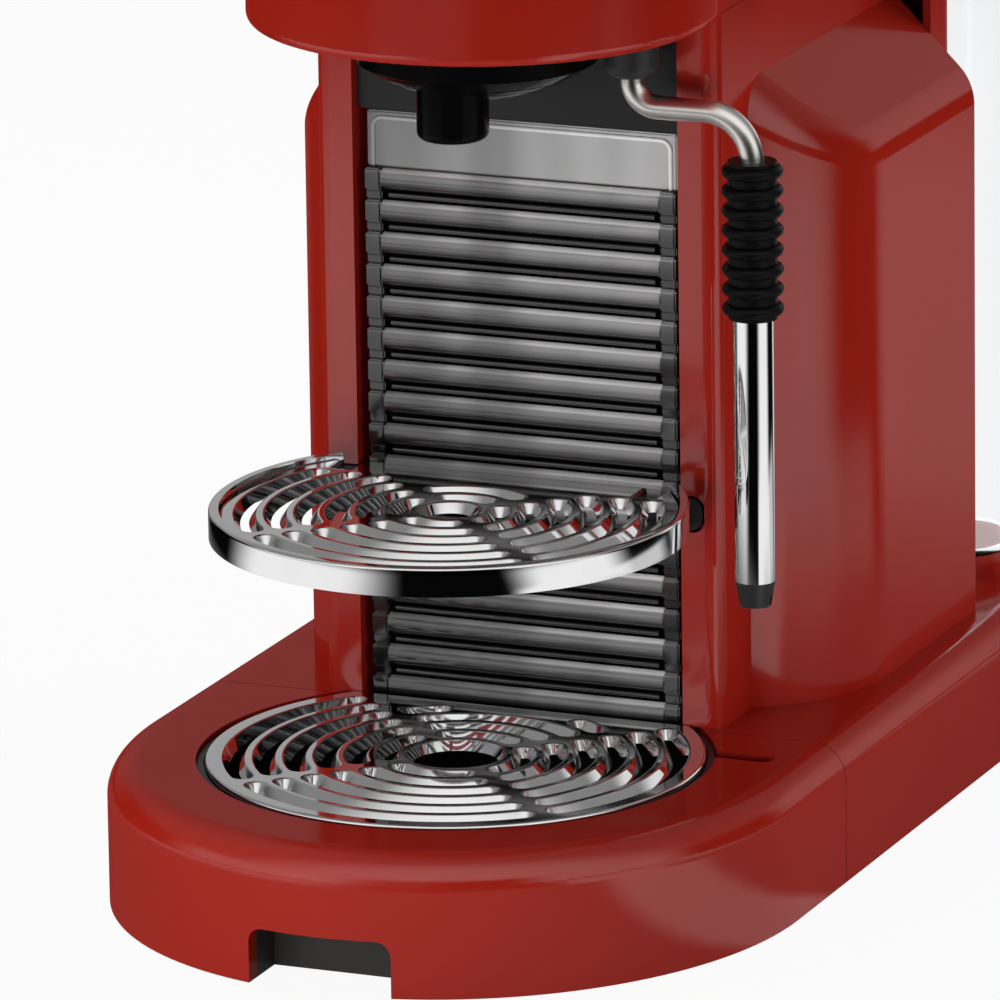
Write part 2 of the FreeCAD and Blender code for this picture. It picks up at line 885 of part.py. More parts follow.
def front_upper_panel():
    half = bay_half - joint_gap
    panel = box(-half, half, panel_front, panel_back, panel_bottom, shell_top)
    lower = [e for e in edges_along_y(panel) if e.Vertexes[0].Z < panel_bottom + tiny]
    return panel.makeFillet(panel_thickness / 2, lower)


# Dome under the head, cut flat where it meets the front panel.
def head_bowl():
    sphere = Part.makeSphere(bowl_sphere, vec(0, bowl_y, bowl_centre))
    body = sphere.common(post(bowl_radius, 0, bowl_y, bowl_bottom - cut_over, head_floor_top))
    inner = Part.makeSphere(bowl_sphere - bowl_wall, vec(0, bowl_y, bowl_centre))
    well = post(bowl_radius - bowl_wall, 0, bowl_y, bowl_bottom, head_floor_top + cut_over)
    body = body.cut(inner.common(well))
    for ring in range(bowl_rings):
        outer = bowl_ring_first - ring * bowl_ring_pitch
        surface = bowl_centre - math.sqrt(bowl_sphere ** 2 - outer ** 2)
        groove = post(outer, 0, bowl_y, bowl_bottom - cut_over, surface)
        groove = groove.cut(post(outer - bowl_ring_width, 0, bowl_y, bowl_bottom - cut_over, head_bottom))
        body = body.cut(groove)
    body = body.common(ahead_of(panel_front))
    return body.cut(post(outlet_radius + joint_gap, 0, outlet_y, bowl_bottom - cut_over, head_floor_top))


def coffee_outlet():
    body = post(outlet_radius, 0, outlet_y, outlet_bottom, head_floor_top)
    body = body.makeFillet(outlet_lip, edges_at_height(body, outlet_bottom))
    low = outlet_bottom - cut_over
    body = body.cut(post(spout_bore, 0, outlet_y, low, head_floor_top + cut_over))
    return body.cut(post(outlet_radius - 2 * outlet_lip, 0, outlet_y, low, outlet_bottom + 2 * outlet_lip))


def coffee_duct():
    front = outlet_y - duct_half
    body = box(-duct_half, duct_half, front, panel_back, head_floor_top, head_floor_top + duct_height)
    middle = head_floor_top + duct_height / 2
    body = body.cut(post(spout_bore, 0, outlet_y, head_floor_top - cut_over, middle))
    return body.cut(long_rod(spout_bore, 0, outlet_y - spout_bore, panel_back + cut_over, middle))


# Brew group behind the front panel.
def extraction_plate():
    back = panel_back + extract_thickness
    body = long_rod(extract_radius, 0, panel_back, back, brew_z)
    duct_z = head_floor_top + duct_height / 2
    return body.cut(long_rod(spout_bore, 0, panel_back - cut_over, back + cut_over, duct_z))


def brew_frame():
    side = box(frame_inner, frame_outer, panel_back, frame_back, frame_bottom, frame_top)
    front = lever_pivot_y - piston_wing
    back = lever_pivot_y + piston_wing
    flange_top = frame_bottom + 2 * frame_wall
    flange = box(frame_outer, bay_half - joint_gap, front, back, frame_bottom, flange_top)
    rear = box(-frame_outer, frame_outer, frame_back - frame_wall, frame_back, frame_bottom, frame_top)
    ring_half = extract_radius + frame_wall
    ring_back = panel_back + extract_thickness
    ring = box(-frame_inner, frame_inner, panel_back, ring_back, brew_z - ring_half, brew_z + ring_half)
    bore = long_rod(extract_radius + joint_gap, 0, panel_back - cut_over, frame_back, brew_z)
    return fuse([side, mirrored(side), flange, mirrored(flange), rear, ring.cut(bore)])


def brew_piston():
    back = piston_front + piston_length
    body = long_rod(piston_radius, 0, piston_front, back, brew_z)
    low = brew_z - piston_wing / 2
    high = brew_z + piston_wing / 2
    wing = box(0, frame_inner - loose_fit, piston_front, back, low, high)
    body = fuse([body, wing, mirrored(wing)])
    depth = piston_front + piston_length / 2
    return body.cut(long_rod(piston_radius - piston_wall, 0, piston_front - cut_over, depth, brew_z))


def piston_link():
    back = piston_front + piston_length
    link = box(-link_half, link_half, back - link_depth, back, brew_z, head_inner_top - link_head_gap)
    return link.cut(long_rod(piston_radius, 0, piston_front, back, brew_z))


def lever_handle():
    arm_inner = lever_half - lever_arm
    top = lever_bottom + lever_height
    front = lever_pivot_y - lever_reach
    arm = box(arm_inner, lever_half, front, lever_pivot_y, lever_bottom, top)
    boss = cross_rod(lever_boss_radius, arm_inner, lever_half, lever_pivot_y, lever_pivot_z)
    bar = box(-lever_half, lever_half, front, front + lever_bar, lever_bottom, top)
    side = arm.fuse(boss)
    outline_back = lever_pivot_y + lever_reach
    outline = rounded_box(-lever_half, lever_half, front, outline_back, 0, 2 * head_top, lever_corner)
    body = fuse([side, mirrored(side), bar]).common(outline)
    pin = lever_pin(0)
    return body.cut(pin).cut(mirrored(pin))


def lever_pin(grow):
    inner = lever_half - lever_arm
    outer = lever_half + loose_fit + bracket_width
    return cross_rod(lever_pin_radius + grow, inner, outer, lever_pivot_y, lever_pivot_z)


def lever_pins():
    return pair(lever_pin(0))


def slot_cover():
    half = lever_half - lever_arm
    front = slot_front - slot_overlap
    back = slot_back + slot_overlap
    return box(-half, half, front, back, lever_bottom, lever_bottom + cover_thickness)


def lever_brackets():
    inner = lever_half + loose_fit
    outer = inner + bracket_width
    front = lever_pivot_y - lever_boss_radius
    back = lever_pivot_y + lever_boss_radius
    block = box(inner, outer, front, back, head_top, lever_pivot_z)
    cap = cross_rod(lever_boss_radius, inner, outer, lever_pivot_y, lever_pivot_z)
    return pair(fuse([block, cap]).cut(lever_pin(running_fit)))


# Dials with a mark on top, push buttons, the power button and the steam knob.
def dial(side):
    x = side * dial_x
    bottom = head_top + loose_fit
    top = bottom + dial_height
    body = post(dial_radius, x, dial_y, bottom, top)
    body = body.makeFillet(dial_edge_radius, edges_at_height(body, top))
    for index in range(dial_flutes):
        angle = 2 * math.pi * index / dial_flutes
        flute_x = x + dial_radius * math.cos(angle)
        flute_y = dial_y + dial_radius * math.sin(angle)
        body = body.cut(post(dial_flute_radius, flute_x, flute_y, bottom - cut_over, top + cut_over))
    half = dial_mark_width / 2
    front = dial_y - dial_radius
    mark_back = front + dial_mark_length
    mark = box(x - half, x + half, front, mark_back, top - dial_mark_depth, top + cut_over)
    collar_bottom = head_top - dial_collar_drop
    collar = post(dial_collar, x, dial_y, collar_bottom, bottom)
    stub = post(dial_spindle, x, dial_y, board_top + loose_fit, collar_bottom)
    return fuse([body.cut(mark), collar, stub])


def push_button(x, y, radius):
    top = head_top + button_rise
    body = post(radius, x, y, head_top - button_stem, top)
    return body.makeFillet(button_edge_radius, edges_at_height(body, top))


def steam_knob():
    start = neck_half + loose_fit
    end = start + knob_length
    body = cross_rod(knob_radius, start, end, knob_y, knob_z)
    rim = [e for e in body.Edges if all(v.X > end - tiny for v in e.Vertexes)]
    body = body.makeFillet(knob_edge_radius, rim)
    for index in range(knob_flutes):
        angle = 2 * math.pi * index / knob_flutes
        flute_y = knob_y + knob_radius * math.cos(angle)
        flute_z = knob_z + knob_radius * math.sin(angle)
        flute = cross_rod(knob_flute_radius, start - cut_over, end + cut_over, flute_y, flute_z)
        body = body.cut(flute)
    return body.cut(spindle(press_gap))


def spindle(grow):
    middle = (valve_inner + valve_outer) / 2
    end = neck_half + loose_fit + knob_length / 2
    return cross_rod(spindle_radius + grow, middle, end, knob_y, knob_z)


def steam_valve():
    front = knob_y - valve_half
    back = knob_y + valve_half
    low = knob_z - valve_half
    block = box(valve_inner, valve_outer, front, back, low, knob_z + valve_half)
    outer = neck_half - shell_wall - joint_gap
    foot = box(valve_outer - shell_wall, outer, front, back, low, low + 2 * shell_wall)
    return fuse([block, foot]).cut(spindle(running_fit))


# Steam wand on a vertical swivel.
def steam_boot():
    body = post(boot_radius, swivel_x, swivel_y, boot_bottom, boot_top)
    body = body.makeFillet(boot_radius / 2, edges_at_height(body, boot_bottom))
    flange = post(boot_radius + shell_wall, swivel_x, swivel_y, boot_top, boot_top + shell_wall)
    body = fuse([body, flange])
    high = boot_top + 2 * shell_wall
    body = body.cut(post(pipe_radius + running_fit, swivel_x, swivel_y, boot_bottom - cut_over, high))
    return body.cut(post(collar_radius + loose_fit, swivel_x, swivel_y, boot_seat - loose_fit, high))


def steam_pipe():
    start = vec(swivel_x, swivel_y, boot_top)
    first = vec(swivel_x, swivel_y, pipe_level + pipe_bend)
    turn = vec(swivel_x + pipe_bend, swivel_y, pipe_level)
    second = vec(wand_x - pipe_drop_bend, swivel_y, pipe_level)
    third = vec(wand_x, swivel_y, pipe_level - pipe_drop_bend)
    end = vec(wand_x, swivel_y, grip_bottom + wand_overlap)
    inner = pipe_bend * (1 - math.sqrt(0.5))
    outer = pipe_drop_bend * (1 - math.sqrt(0.5))
    path = Part.Wire([
        Part.makeLine(start, first),
        Part.Arc(first, vec(swivel_x + inner, swivel_y, pipe_level + inner), turn).toShape(),
        Part.makeLine(turn, second),
        Part.Arc(second, vec(wand_x - outer, swivel_y, pipe_level - outer), third).toShape(),
        Part.makeLine(third, end),
    ])
    section = Part.Wire(Part.makeCircle(pipe_radius, start, vec(0, 0, -1)))
    pipe = path.makePipeShell([section], True, False)
    return fuse([pipe, post(collar_radius, swivel_x, swivel_y, boot_seat, boot_seat + collar_height)])


def wand_grip():
    pitch = grip_length / grip_ribs
    land = pitch / 5
    axis = vec(wand_x, swivel_y, 0)
    edges = []
    point = vec(wand_x + pipe_radius, swivel_y, grip_bottom)
    corner = vec(wand_x + grip_valley, swivel_y, grip_bottom)
    edges.append(Part.makeLine(point, corner))
    for index in range(grip_ribs):
        low = grip_bottom + index * pitch
        rise = vec(wand_x + grip_valley, swivel_y, low + land)
        fall = vec(wand_x + grip_valley, swivel_y, low + pitch - land)
        crest = vec(wand_x + grip_radius, swivel_y, low + pitch / 2)
        edges.append(Part.makeLine(corner, rise))
        edges.append(Part.Arc(rise, crest, fall).toShape())
        corner = vec(wand_x + grip_valley, swivel_y, low + pitch)
        edges.append(Part.makeLine(fall, corner))
    top = vec(wand_x + pipe_radius, swivel_y, grip_top)
    edges.append(Part.makeLine(corner, top))
    edges.append(Part.makeLine(top, point))
    body = Part.Face(Part.Wire(edges)).revolve(axis, vec(0, 0, 1), 360)
    return body.cut(post(wand_radius, wand_x, swivel_y, grip_bottom - cut_over, grip_bottom + wand_overlap))


def wand_tube():
    body = post(wand_radius, wand_x, swivel_y, wand_bottom, grip_bottom + wand_overlap)
    return body.cut(post(pipe_radius, wand_x, swivel_y, wand_bottom - cut_over, grip_top))


def wand_tip():
    body = Part.makeCone(tip_radius, wand_radius, tip_length, vec(wand_x, swivel_y, tip_bottom))
    half = tip_notch / 2
    low = tip_bottom - cut_over
    high = tip_bottom + 2 * tip_notch
    notch = box(wand_x - wand_radius, wand_x + wand_radius, swivel_y - half, swivel_y + half, low, high)
    return body.cut(notch).cut(post(tip_radius / 3, wand_x, swivel_y, low, wand_bottom + cut_over))


# Pump, heater, flow meter, control board and hoses.
def pump():
    barrel = cross_rod(pump_radius, -pump_half, pump_half, pump_y, pump_z)
    nozzle = cross_rod(pump_radius / 3, pump_half, pump_half + mount_width, pump_y, pump_z)
    return fuse([barrel, nozzle, mirrored(nozzle)])


def pump_mounts():
    inner = mount_from_middle - mount_width / 2
    outer = mount_from_middle + mount_width / 2
    block = box(inner, outer, pump_y - mount_half, pump_y + mount_half, base_top, pump_z)
    cradle = cross_rod(pump_radius + joint_gap, -pump_half, pump_half, pump_y, pump_z)
    return pair(block.cut(cradle))


def thermoblock():
    back = thermo_front + thermo_depth
    body = box(-thermo_half, thermo_half, thermo_front, back, thermo_bottom, thermo_bottom + thermo_height)
    step = thermo_height / thermo_fins
    half = thermo_half + cut_over
    for index in range(thermo_fins):
        low = thermo_bottom + (index + 0.5) * step - fin_width / 2
        body = body.cut(box(-half, half, back - fin_depth, back + cut_over, low, low + fin_width))
    return body


def thermo_stand():
    back = thermo_front + thermo_depth
    shelf_bottom = thermo_bottom - stand_wall
    leg = box(stand_half - stand_wall, stand_half, thermo_front, back, base_top, shelf_bottom)
    shelf = box(-stand_half, stand_half, thermo_front, back, shelf_bottom, thermo_bottom)
    hole_bottom = shelf_bottom - cut_over
    hole = post(hose_radius + loose_fit, riser_x, pump_y, hole_bottom, thermo_bottom + cut_over)
    return fuse([leg, mirrored(leg), shelf.cut(hole)])


def flow_meter():
    body = post(flow_radius, flow_x, flow_y, base_top, base_top + flow_height)
    stub_end = flow_x - flow_radius - flow_stub
    return fuse([body, cross_rod(hose_radius, stub_end, flow_x, flow_y, base_top + flow_height / 2)])


def board_post_places():
    edge = 2 * board_post_radius
    x = dial_x - dial_collar - edge
    return [(side * x, y) for side in (-1, 1) for y in (board_front + edge, board_back - edge)]


# The board has two wings that reach forward beside the brew frame, under the push buttons.
def control_board():
    low = board_top - board_thickness
    plate = box(-board_half, board_half, board_front, board_back, low, board_top)
    wing = box(frame_outer + board_gap, board_half, button_y - button_radius, board_front, low, board_top)
    return fuse([plate, wing, mirrored(wing)])


def water_hoses():
    supply_front = spine_back - 2 * shell_wall - hose_radius
    supply = long_rod(hose_radius, 0, supply_front, tank_front + tank_seat_inset, supply_z)
    cross_z = thermo_bottom + 2 * hose_radius
    riser = post(hose_radius, riser_x, pump_y, pump_z - hose_radius, cross_z)
    elbow = Part.makeSphere(hose_radius, vec(riser_x, pump_y, cross_z))
    cross = cross_rod(hose_radius, riser_x, -thermo_half, pump_y, cross_z)
    return Part.makeCompound([supply, fuse([riser, elbow, cross])])


# Water tank with its seat, valve and lid.
def tank_plan(inset, z0, z1):
    half = tank_half - inset
    corner = tank_radius - inset
    return rounded_box(-half, half, tank_front + inset, tank_back - inset, z0, z1, corner)


def tank_seat():
    seat = tank_plan(tank_seat_inset, base_top, tank_bottom - joint_gap)
    well_bottom = tank_bottom - valve_reach - loose_fit
    seat = seat.cut(post(valve_flange + loose_fit, 0, tank_middle, well_bottom, tank_bottom))
    return seat.cut(long_rod(hose_radius, 0, tank_front, tank_middle - valve_flange, supply_z))


def lid_ear():
    outer = lid_ear_x + lid_ear_width
    front = lid_pivot_y - lid_ear_radius
    block = box(lid_ear_x, outer, front, tank_back, tank_top - tank_wall, lid_pivot_z)
    cap = cross_rod(lid_ear_radius, lid_ear_x, outer, lid_pivot_y, lid_pivot_z)
    back = box(lid_ear_x, outer, lid_pivot_y, tank_back, lid_pivot_z, lid_pivot_z + lid_ear_radius)
    return fuse([block, cap, back])


def water_tank():
    body = tank_plan(0, tank_bottom, tank_top)
    floor = tank_bottom + tank_wall
    body = body.cut(tank_plan(tank_wall, floor, tank_top + cut_over))
    body = body.cut(post(valve_radius, 0, tank_middle, tank_bottom - cut_over, floor + cut_over))
    ear = lid_ear().common(tank_plan(0, tank_bottom, 2 * tank_top))
    body = fuse([body, ear, mirrored(ear)])
    bore = lid_pin(running_fit)
    return body.cut(bore).cut(mirrored(bore))


def tank_valve():
    floor = tank_bottom + tank_wall
    body = post(valve_radius, 0, tank_middle, tank_bottom - valve_reach, floor + tank_wall)
    flange = post(valve_flange, 0, tank_middle, floor, floor + tank_wall)
    return fuse([body, flange])


def lid_pin(grow):
    end = lid_ear_x + lid_ear_width
    return cross_rod(lid_pin_radius + grow, end - lid_pin_length, end, lid_pivot_y, lid_pivot_z)


def tank_lid():
    bottom = tank_top + tank_lid_gap
    top = bottom + tank_lid_thickness
    body = tank_plan(0, bottom, top).common(ahead_of(lid_pivot_y + lid_overhang))
    x0 = lid_ear_x - loose_fit
    x1 = lid_ear_x + lid_ear_width + loose_fit
    front = lid_pivot_y - lid_ear_radius - loose_fit
    notch = box(x0, x1, front, tank_back, bottom - cut_over, top + cut_over)
    body = body.cut(notch).cut(mirrored(notch))
    hole = lid_pin(press_gap)
    return body.cut(hole).cut(mirrored(hole))


def tank_lid_pins():
    return pair(lid_pin(0))


pieces = {
    "base_plate": base_plate(),
    "rubber_feet": rubber_feet(),
    "base_screws": base_screws(),
    "rear_base_shell": rear_base_shell(),
    "power_inlet": power_inlet(),
    "right_side_shell": side_shell(bulge_straight),
    "left_side_shell": mirrored(side_shell(left_bulge_straight)),
    "rear_panel": rear_panel(),
    "front_upper_panel": front_upper_panel(),
    "head_shell": head_shell(),
    "head_bowl": head_bowl(),
    "coffee_outlet": coffee_outlet(),
    "coffee_duct": coffee_duct(),
    "extraction_plate": extraction_plate(),
    "brew_frame": brew_frame(),
    "brew_piston": brew_piston(),
    "piston_link": piston_link(),
    "lever_handle": lever_handle(),
    "lever_pins": lever_pins(),
    "slot_cover": slot_cover(),
    "lever_brackets": lever_brackets(),
    "espresso_dial": dial(-1),
    "lungo_dial": dial(1),
    "espresso_button": push_button(-button_x, button_y, button_radius),
    "lungo_button": push_button(button_x, button_y, button_radius),
    "power_button": push_button(0, power_y, power_radius),
    "steam_knob": steam_knob(),
    "steam_spindle": spindle(0),
    "steam_valve": steam_valve(),
    "steam_boot": steam_boot(),
    "steam_pipe": steam_pipe(),
    "wand_grip": wand_grip(),
    "wand_tube": wand_tube(),
    "wand_tip": wand_tip(),
    "front_base_cover": front_base_cover(),
    "notch_liner": notch_liner(),
    "drawer_floor": drawer_floor(),
    "drip_tray": drip_tray(),
    "drip_grid": drip_grid(),
    "capsule_container": capsule_container(),
    "cup_brackets": cup_brackets(),
    "cup_support_rim": cup_support_rim(),
    "cup_support_grid": cup_support_grid(),
    "cup_hinge_pins": cup_hinge_pins(),
    "pump": pump(),
    "pump_mounts": pump_mounts(),
    "thermoblock": thermoblock(),
    "thermo_stand": thermo_stand(),
    "flow_meter": flow_meter(),
    "control_board": control_board(),
    "water_hoses": water_hoses(),
    "tank_seat": tank_seat(),
    "water_tank": water_tank(),
    "tank_valve": tank_valve(),
    "tank_lid": tank_lid(),
    "tank_lid_pins": tank_lid_pins(),
}

os.makedirs("parts", exist_ok=True)
to_middle = vec(0, -(base_front + base_back) / 2, 0)
for name, shape in pieces.items():
    shape.translate(to_middle)
    shape.exportStep("parts/" + name + ".step")
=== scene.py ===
import math
import bmesh
import bpy
from mathutils import Matrix, Vector


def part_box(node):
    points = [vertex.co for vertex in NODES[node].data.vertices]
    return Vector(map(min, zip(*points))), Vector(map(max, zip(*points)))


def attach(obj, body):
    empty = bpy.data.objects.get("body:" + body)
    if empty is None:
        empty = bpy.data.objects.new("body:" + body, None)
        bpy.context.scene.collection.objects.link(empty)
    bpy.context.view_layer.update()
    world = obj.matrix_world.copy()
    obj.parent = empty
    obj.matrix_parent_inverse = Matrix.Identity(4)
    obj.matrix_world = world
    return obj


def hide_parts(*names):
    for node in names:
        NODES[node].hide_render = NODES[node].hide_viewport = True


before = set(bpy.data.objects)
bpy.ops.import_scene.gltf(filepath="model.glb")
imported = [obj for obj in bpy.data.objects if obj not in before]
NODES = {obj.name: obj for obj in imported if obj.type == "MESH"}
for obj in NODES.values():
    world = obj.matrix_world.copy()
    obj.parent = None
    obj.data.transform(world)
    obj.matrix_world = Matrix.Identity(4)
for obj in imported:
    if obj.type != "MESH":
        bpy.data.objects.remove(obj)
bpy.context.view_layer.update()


# Underside: a moulded black plate closes the base from below and carries two runners for the drawer.
# It stands on four rubber feet and is held by six steel screws in the bosses of the base shell.
# All sizes are metres in the frame's own axes, and MM turns a maker's millimetres into them.
MM = 0.001


class Field:
    """A value that varies over a surface: a socket in a node tree. Without a socket it only makes nodes."""

    def __init__(self, tree, socket=None):
        self.tree = tree
        self.socket = socket

    def node(self, kind, settings, inputs, output=0):
        """A new node with its settings, then its sockets' values or links. Gives back one of its outputs."""
        made = self.tree.nodes.new(kind)
        for key, value in settings.items():
            setattr(made, key, value)
        for key, value in inputs.items():
            if isinstance(value, Field):
                self.tree.links.new(value.socket, made.inputs[key])
            else:
                made.inputs[key].default_value = value
        return Field(self.tree, made.outputs[output])

    def math(self, operation, *values):
        """A Math node on the values in their order, or on this field alone."""
        return self.node("ShaderNodeMath", {"operation": operation}, dict(enumerate(values or (self,))))

    def __add__(self, other):
        return self.math("ADD", self, other)

    def __radd__(self, other):
        return self.math("ADD", other, self)

    def __sub__(self, other):
        return self.math("SUBTRACT", self, other)

    def __rsub__(self, other):
        return self.math("SUBTRACT", other, self)

    def __mul__(self, other):
        return self.math("MULTIPLY", self, other)

    def __gt__(self, other):
        return self.math("GREATER_THAN", self, other)

    def vector(self, operation, other=(0, 0, 0)):
        """A Vector Math node on this field, for an operation that gives one number."""
        return self.node("ShaderNodeVectorMath", {"operation": operation}, {0: self, 1: other}, "Value")

    def between(self, low, high):
        """Nothing at low, one at high and a soft step from the one to the other."""
        inputs = {"Value": self, "From Min": low, "From Max": high}
        return self.node("ShaderNodeMapRange", {"interpolation_type": "SMOOTHSTEP"}, inputs)

    def blend(self, first, second):
        """A colour that goes from the first to the second as this field goes from nothing to one."""
        inputs = {0: self, 6: (*first, 1), 7: (*second, 1)}
        return self.node("ShaderNodeMix", {"data_type": "RGBA"}, inputs, 2)

    def part(self, axis):
        """One of the X, Y and Z parts of a place."""
        return self.node("ShaderNodeSeparateXYZ", {}, {"Vector": self}, axis)

    def noise(self, scale, detail=2, stretch=(1, 1, 1)):
        """Noise over places. A stretch below one along an axis draws it out into lines."""
        place = self.node("ShaderNodeMapping", {}, {"Vector": self, "Scale": stretch})
        inputs = {"Vector": place, "Scale": scale, "Detail": detail}
        return self.node("ShaderNodeTexNoise", {}, inputs)


class Finish:
    """A material with one Principled shader. What is the same all over sits on the shader's own sockets."""

    def __init__(self, name, **fixed):
        self.material = bpy.data.materials.new(name)
        self.material.use_nodes = True
        self.tree = self.material.node_tree
        self.shader = self.tree.nodes["Principled BSDF"]
        for key, value in fixed.items():
            self.shader.inputs[key.replace("_", " ")].default_value = value
        self.place = Field(self.tree).node("ShaderNodeTexCoord", {}, {}, "Object")

    def vary(self, socket, field):
        """Lets a field drive one socket of the shader."""
        self.tree.links.new(field.socket, self.shader.inputs[socket])

    def mottle(self, field, first, second, roughness, spread):
        """Colour from the first to the second, and roughness that rises by spread, as the field goes."""
        self.vary("Base Color", field.blend(first, second))
        self.vary("Roughness", roughness + field * spread)

    def grain(self, height, depth, strength):
        """A fine relief in the surface."""
        inputs = {"Height": height, "Distance": depth, "Strength": strength}
        self.vary("Normal", height.node("ShaderNodeBump", {}, inputs))

    def on(self, *names):
        """Gives nodes of the frame this finish."""
        for name in names:
            NODES[name].data.materials.clear()
            NODES[name].data.materials.append(self.material)


black_moulding = Finish("black_moulding")
black_spark = black_moulding.place.noise(scale=2600, detail=3)
black_moulding.mottle(black_spark, (0.011, 0.011, 0.012), (0.021, 0.021, 0.022), roughness=0.36, spread=0.16)
black_moulding.grain(black_spark, depth=0.03 * MM, strength=0.5)
black_moulding.on("base_plate")

foot_rubber = Finish("foot_rubber")
rubber_dust = foot_rubber.place.noise(scale=900, detail=4)
foot_rubber.mottle(rubber_dust, (0.012, 0.012, 0.012), (0.026, 0.026, 0.027), roughness=0.62, spread=0.25)
foot_rubber.grain(rubber_dust, depth=0.06 * MM, strength=0.4)
foot_rubber.on("rubber_feet")

steel = Finish("steel", Metallic=1.0)
steel_lines = steel.place.noise(scale=1800, detail=3, stretch=(1, 1, 0.03))
steel.mottle(steel_lines, (0.52, 0.51, 0.50), (0.68, 0.67, 0.66), roughness=0.20, spread=0.16)
steel.grain(steel_lines, depth=0.01 * MM, strength=0.35)
steel.on("base_screws")


# Water works: a pump on rubber mounts, a flow meter and a cast aluminium heater block on a steel stand.
# Rubber hoses join them inside the body. A green circuit board under the push buttons runs them.
frame_grey = Finish("frame_grey")
frame_grain = frame_grey.place.noise(scale=1500, detail=3)
frame_grey.mottle(frame_grain, (0.21, 0.21, 0.22), (0.29, 0.29, 0.30), roughness=0.38, spread=0.2)
frame_grey.on("pump", "flow_meter")

cast_aluminium = Finish("cast_aluminium", Metallic=1.0)
cast_skin = cast_aluminium.place.noise(scale=700, detail=4)
cast_aluminium.mottle(cast_skin, (0.50, 0.50, 0.50), (0.68, 0.68, 0.68), roughness=0.40, spread=0.25)
cast_aluminium.grain(cast_skin, depth=0.08 * MM, strength=0.6)
cast_aluminium.on("thermoblock")

track_share = 0.55
board_mask = Finish("board_mask")
board_tracks = board_mask.place.noise(scale=420, detail=1, stretch=(1, 0.1, 1))
board_mask.vary("Base Color", (board_tracks > track_share).blend((0.012, 0.09, 0.035), (0.03, 0.17, 0.07)))
board_mask.vary("Roughness", 0.24 + board_tracks * 0.14)
board_mask.on("control_board")

steel.on("thermo_stand")
foot_rubber.on("pump_mounts", "water_hoses")


# Brew group: a grey moulded frame in the head guides the piston, which a steel link moves with the lever.
# A steel plate pierces the capsule, and a moulded duct leads the coffee down to the outlet.
frame_grey.on("brew_frame", "brew_piston", "coffee_duct")
steel.on("extraction_plate", "piston_link")


# Red shells: the base, the two sides, the back and the head are moulded in red and given a satin lacquer.
# The lacquer shows a faint orange-peel and a slightly duller bloom, but no grain that the eye picks out.
# Seen at a glancing angle it loses most of its gloss. A black gland for the cord sits in the base's back.
coat_full = 0.75
coat_loss = 0.68

satin_red = Finish("satin_red", Specular_IOR_Level=0.0, Coat_IOR=1.8, Coat_Roughness=0.12)
red_cloud = satin_red.place.noise(scale=9, detail=3)
red_peel = satin_red.place.noise(scale=700)
red_rough = 0.46 + red_peel * 0.04
satin_red.mottle(red_cloud, (0.305, 0.013, 0.0065), (0.335, 0.015, 0.0075), roughness=red_rough, spread=0.07)
glancing = red_cloud.node("ShaderNodeLayerWeight", {}, {"Blend": 0.5}, "Facing")
satin_red.vary("Coat Weight", coat_full - glancing * coat_loss)
satin_red.grain(red_peel, depth=0.02 * MM, strength=0.35)
satin_red.on("rear_base_shell", "right_side_shell", "left_side_shell", "rear_panel", "head_shell")
black_moulding.on("power_inlet")


# Drip drawer: a black floor and tray slide out with the red front cover, whose notch has a dark grey liner.
# The tray is a plain moulding with a ledge for the grid. It catches what runs through the slots.
satin_red.on("front_base_cover")
black_moulding.on("drawer_floor", "drip_tray")

notch_grey = Finish("notch_grey")
notch_grain = notch_grey.place.noise(scale=2400)
notch_grey.mottle(notch_grain, (0.024, 0.022, 0.021), (0.032, 0.030, 0.029), roughness=0.44, spread=0.14)
notch_grey.on("notch_liner")


# Drip grid: a chromed steel plate with rounded ribs, loose on the tray's ledge.
# Ring slots between four spokes narrow towards the underside, so drips run through and cups stand level.
grid_rings = 6
grid_pitch = 8.9 * MM
grid_rib = 3.0 * MM
grid_spoke = 4.5 * MM
grid_rim = 5.4 * MM
grid_thickness = 3.0 * MM
grid_play = 0.2 * MM
slot_half = (grid_pitch - grid_rib) / 2
slot_slope = math.radians(55)
shortest_slot = math.radians(2)
lip_radius = 0.9 * MM
lip_steps = 5
cap_steps = 12
rim_steps = 160
hole_steps = 72
arc_step = 2 * MM
fewest_steps = 4
sharp_bend = math.radians(40)

chrome_plate = Finish("chrome_plate", Metallic=1.0)
chrome_wipe = chrome_plate.place.noise(scale=60, detail=3)
chrome_plate.mottle(chrome_wipe, (0.78, 0.78, 0.79), (0.87, 0.87, 0.87), roughness=0.03, spread=0.06)


def lip(turn):
    """Places round a rounded edge, from the flat top on: distance in from the full size, and depth."""
    angles = [turn * step / lip_steps for step in range(lip_steps + 1)]
    return [(lip_radius * (1 - math.sin(angle)), lip_radius * (1 - math.cos(angle))) for angle in angles]


def ring_point(angle, radial, ahead=0.0):
    """A point that lies radial out from the middle, and ahead along the ring from the angle."""
    x = radial * math.cos(angle) - ahead * math.sin(angle)
    return x, radial * math.sin(angle) + ahead * math.cos(angle)


def slot_loop(ring, start, end, half):
    """Points round a slot: out along its ring, round the end, back along the inside and round the start."""
    steps = max(fewest_steps, round((end - start) * ring / arc_step))
    angles = [start + (end - start) * step / steps for step in range(steps + 1)]
    caps = [math.pi * step / cap_steps for step in range(1, cap_steps)]
    points = [ring_point(angle, ring + half) for angle in angles]
    points += [ring_point(end, ring + half * math.cos(turn), half * math.sin(turn)) for turn in caps]
    points += [ring_point(angle, ring - half) for angle in reversed(angles)]
    points += [ring_point(start, ring - half * math.cos(turn), -half * math.sin(turn)) for turn in caps]
    return points


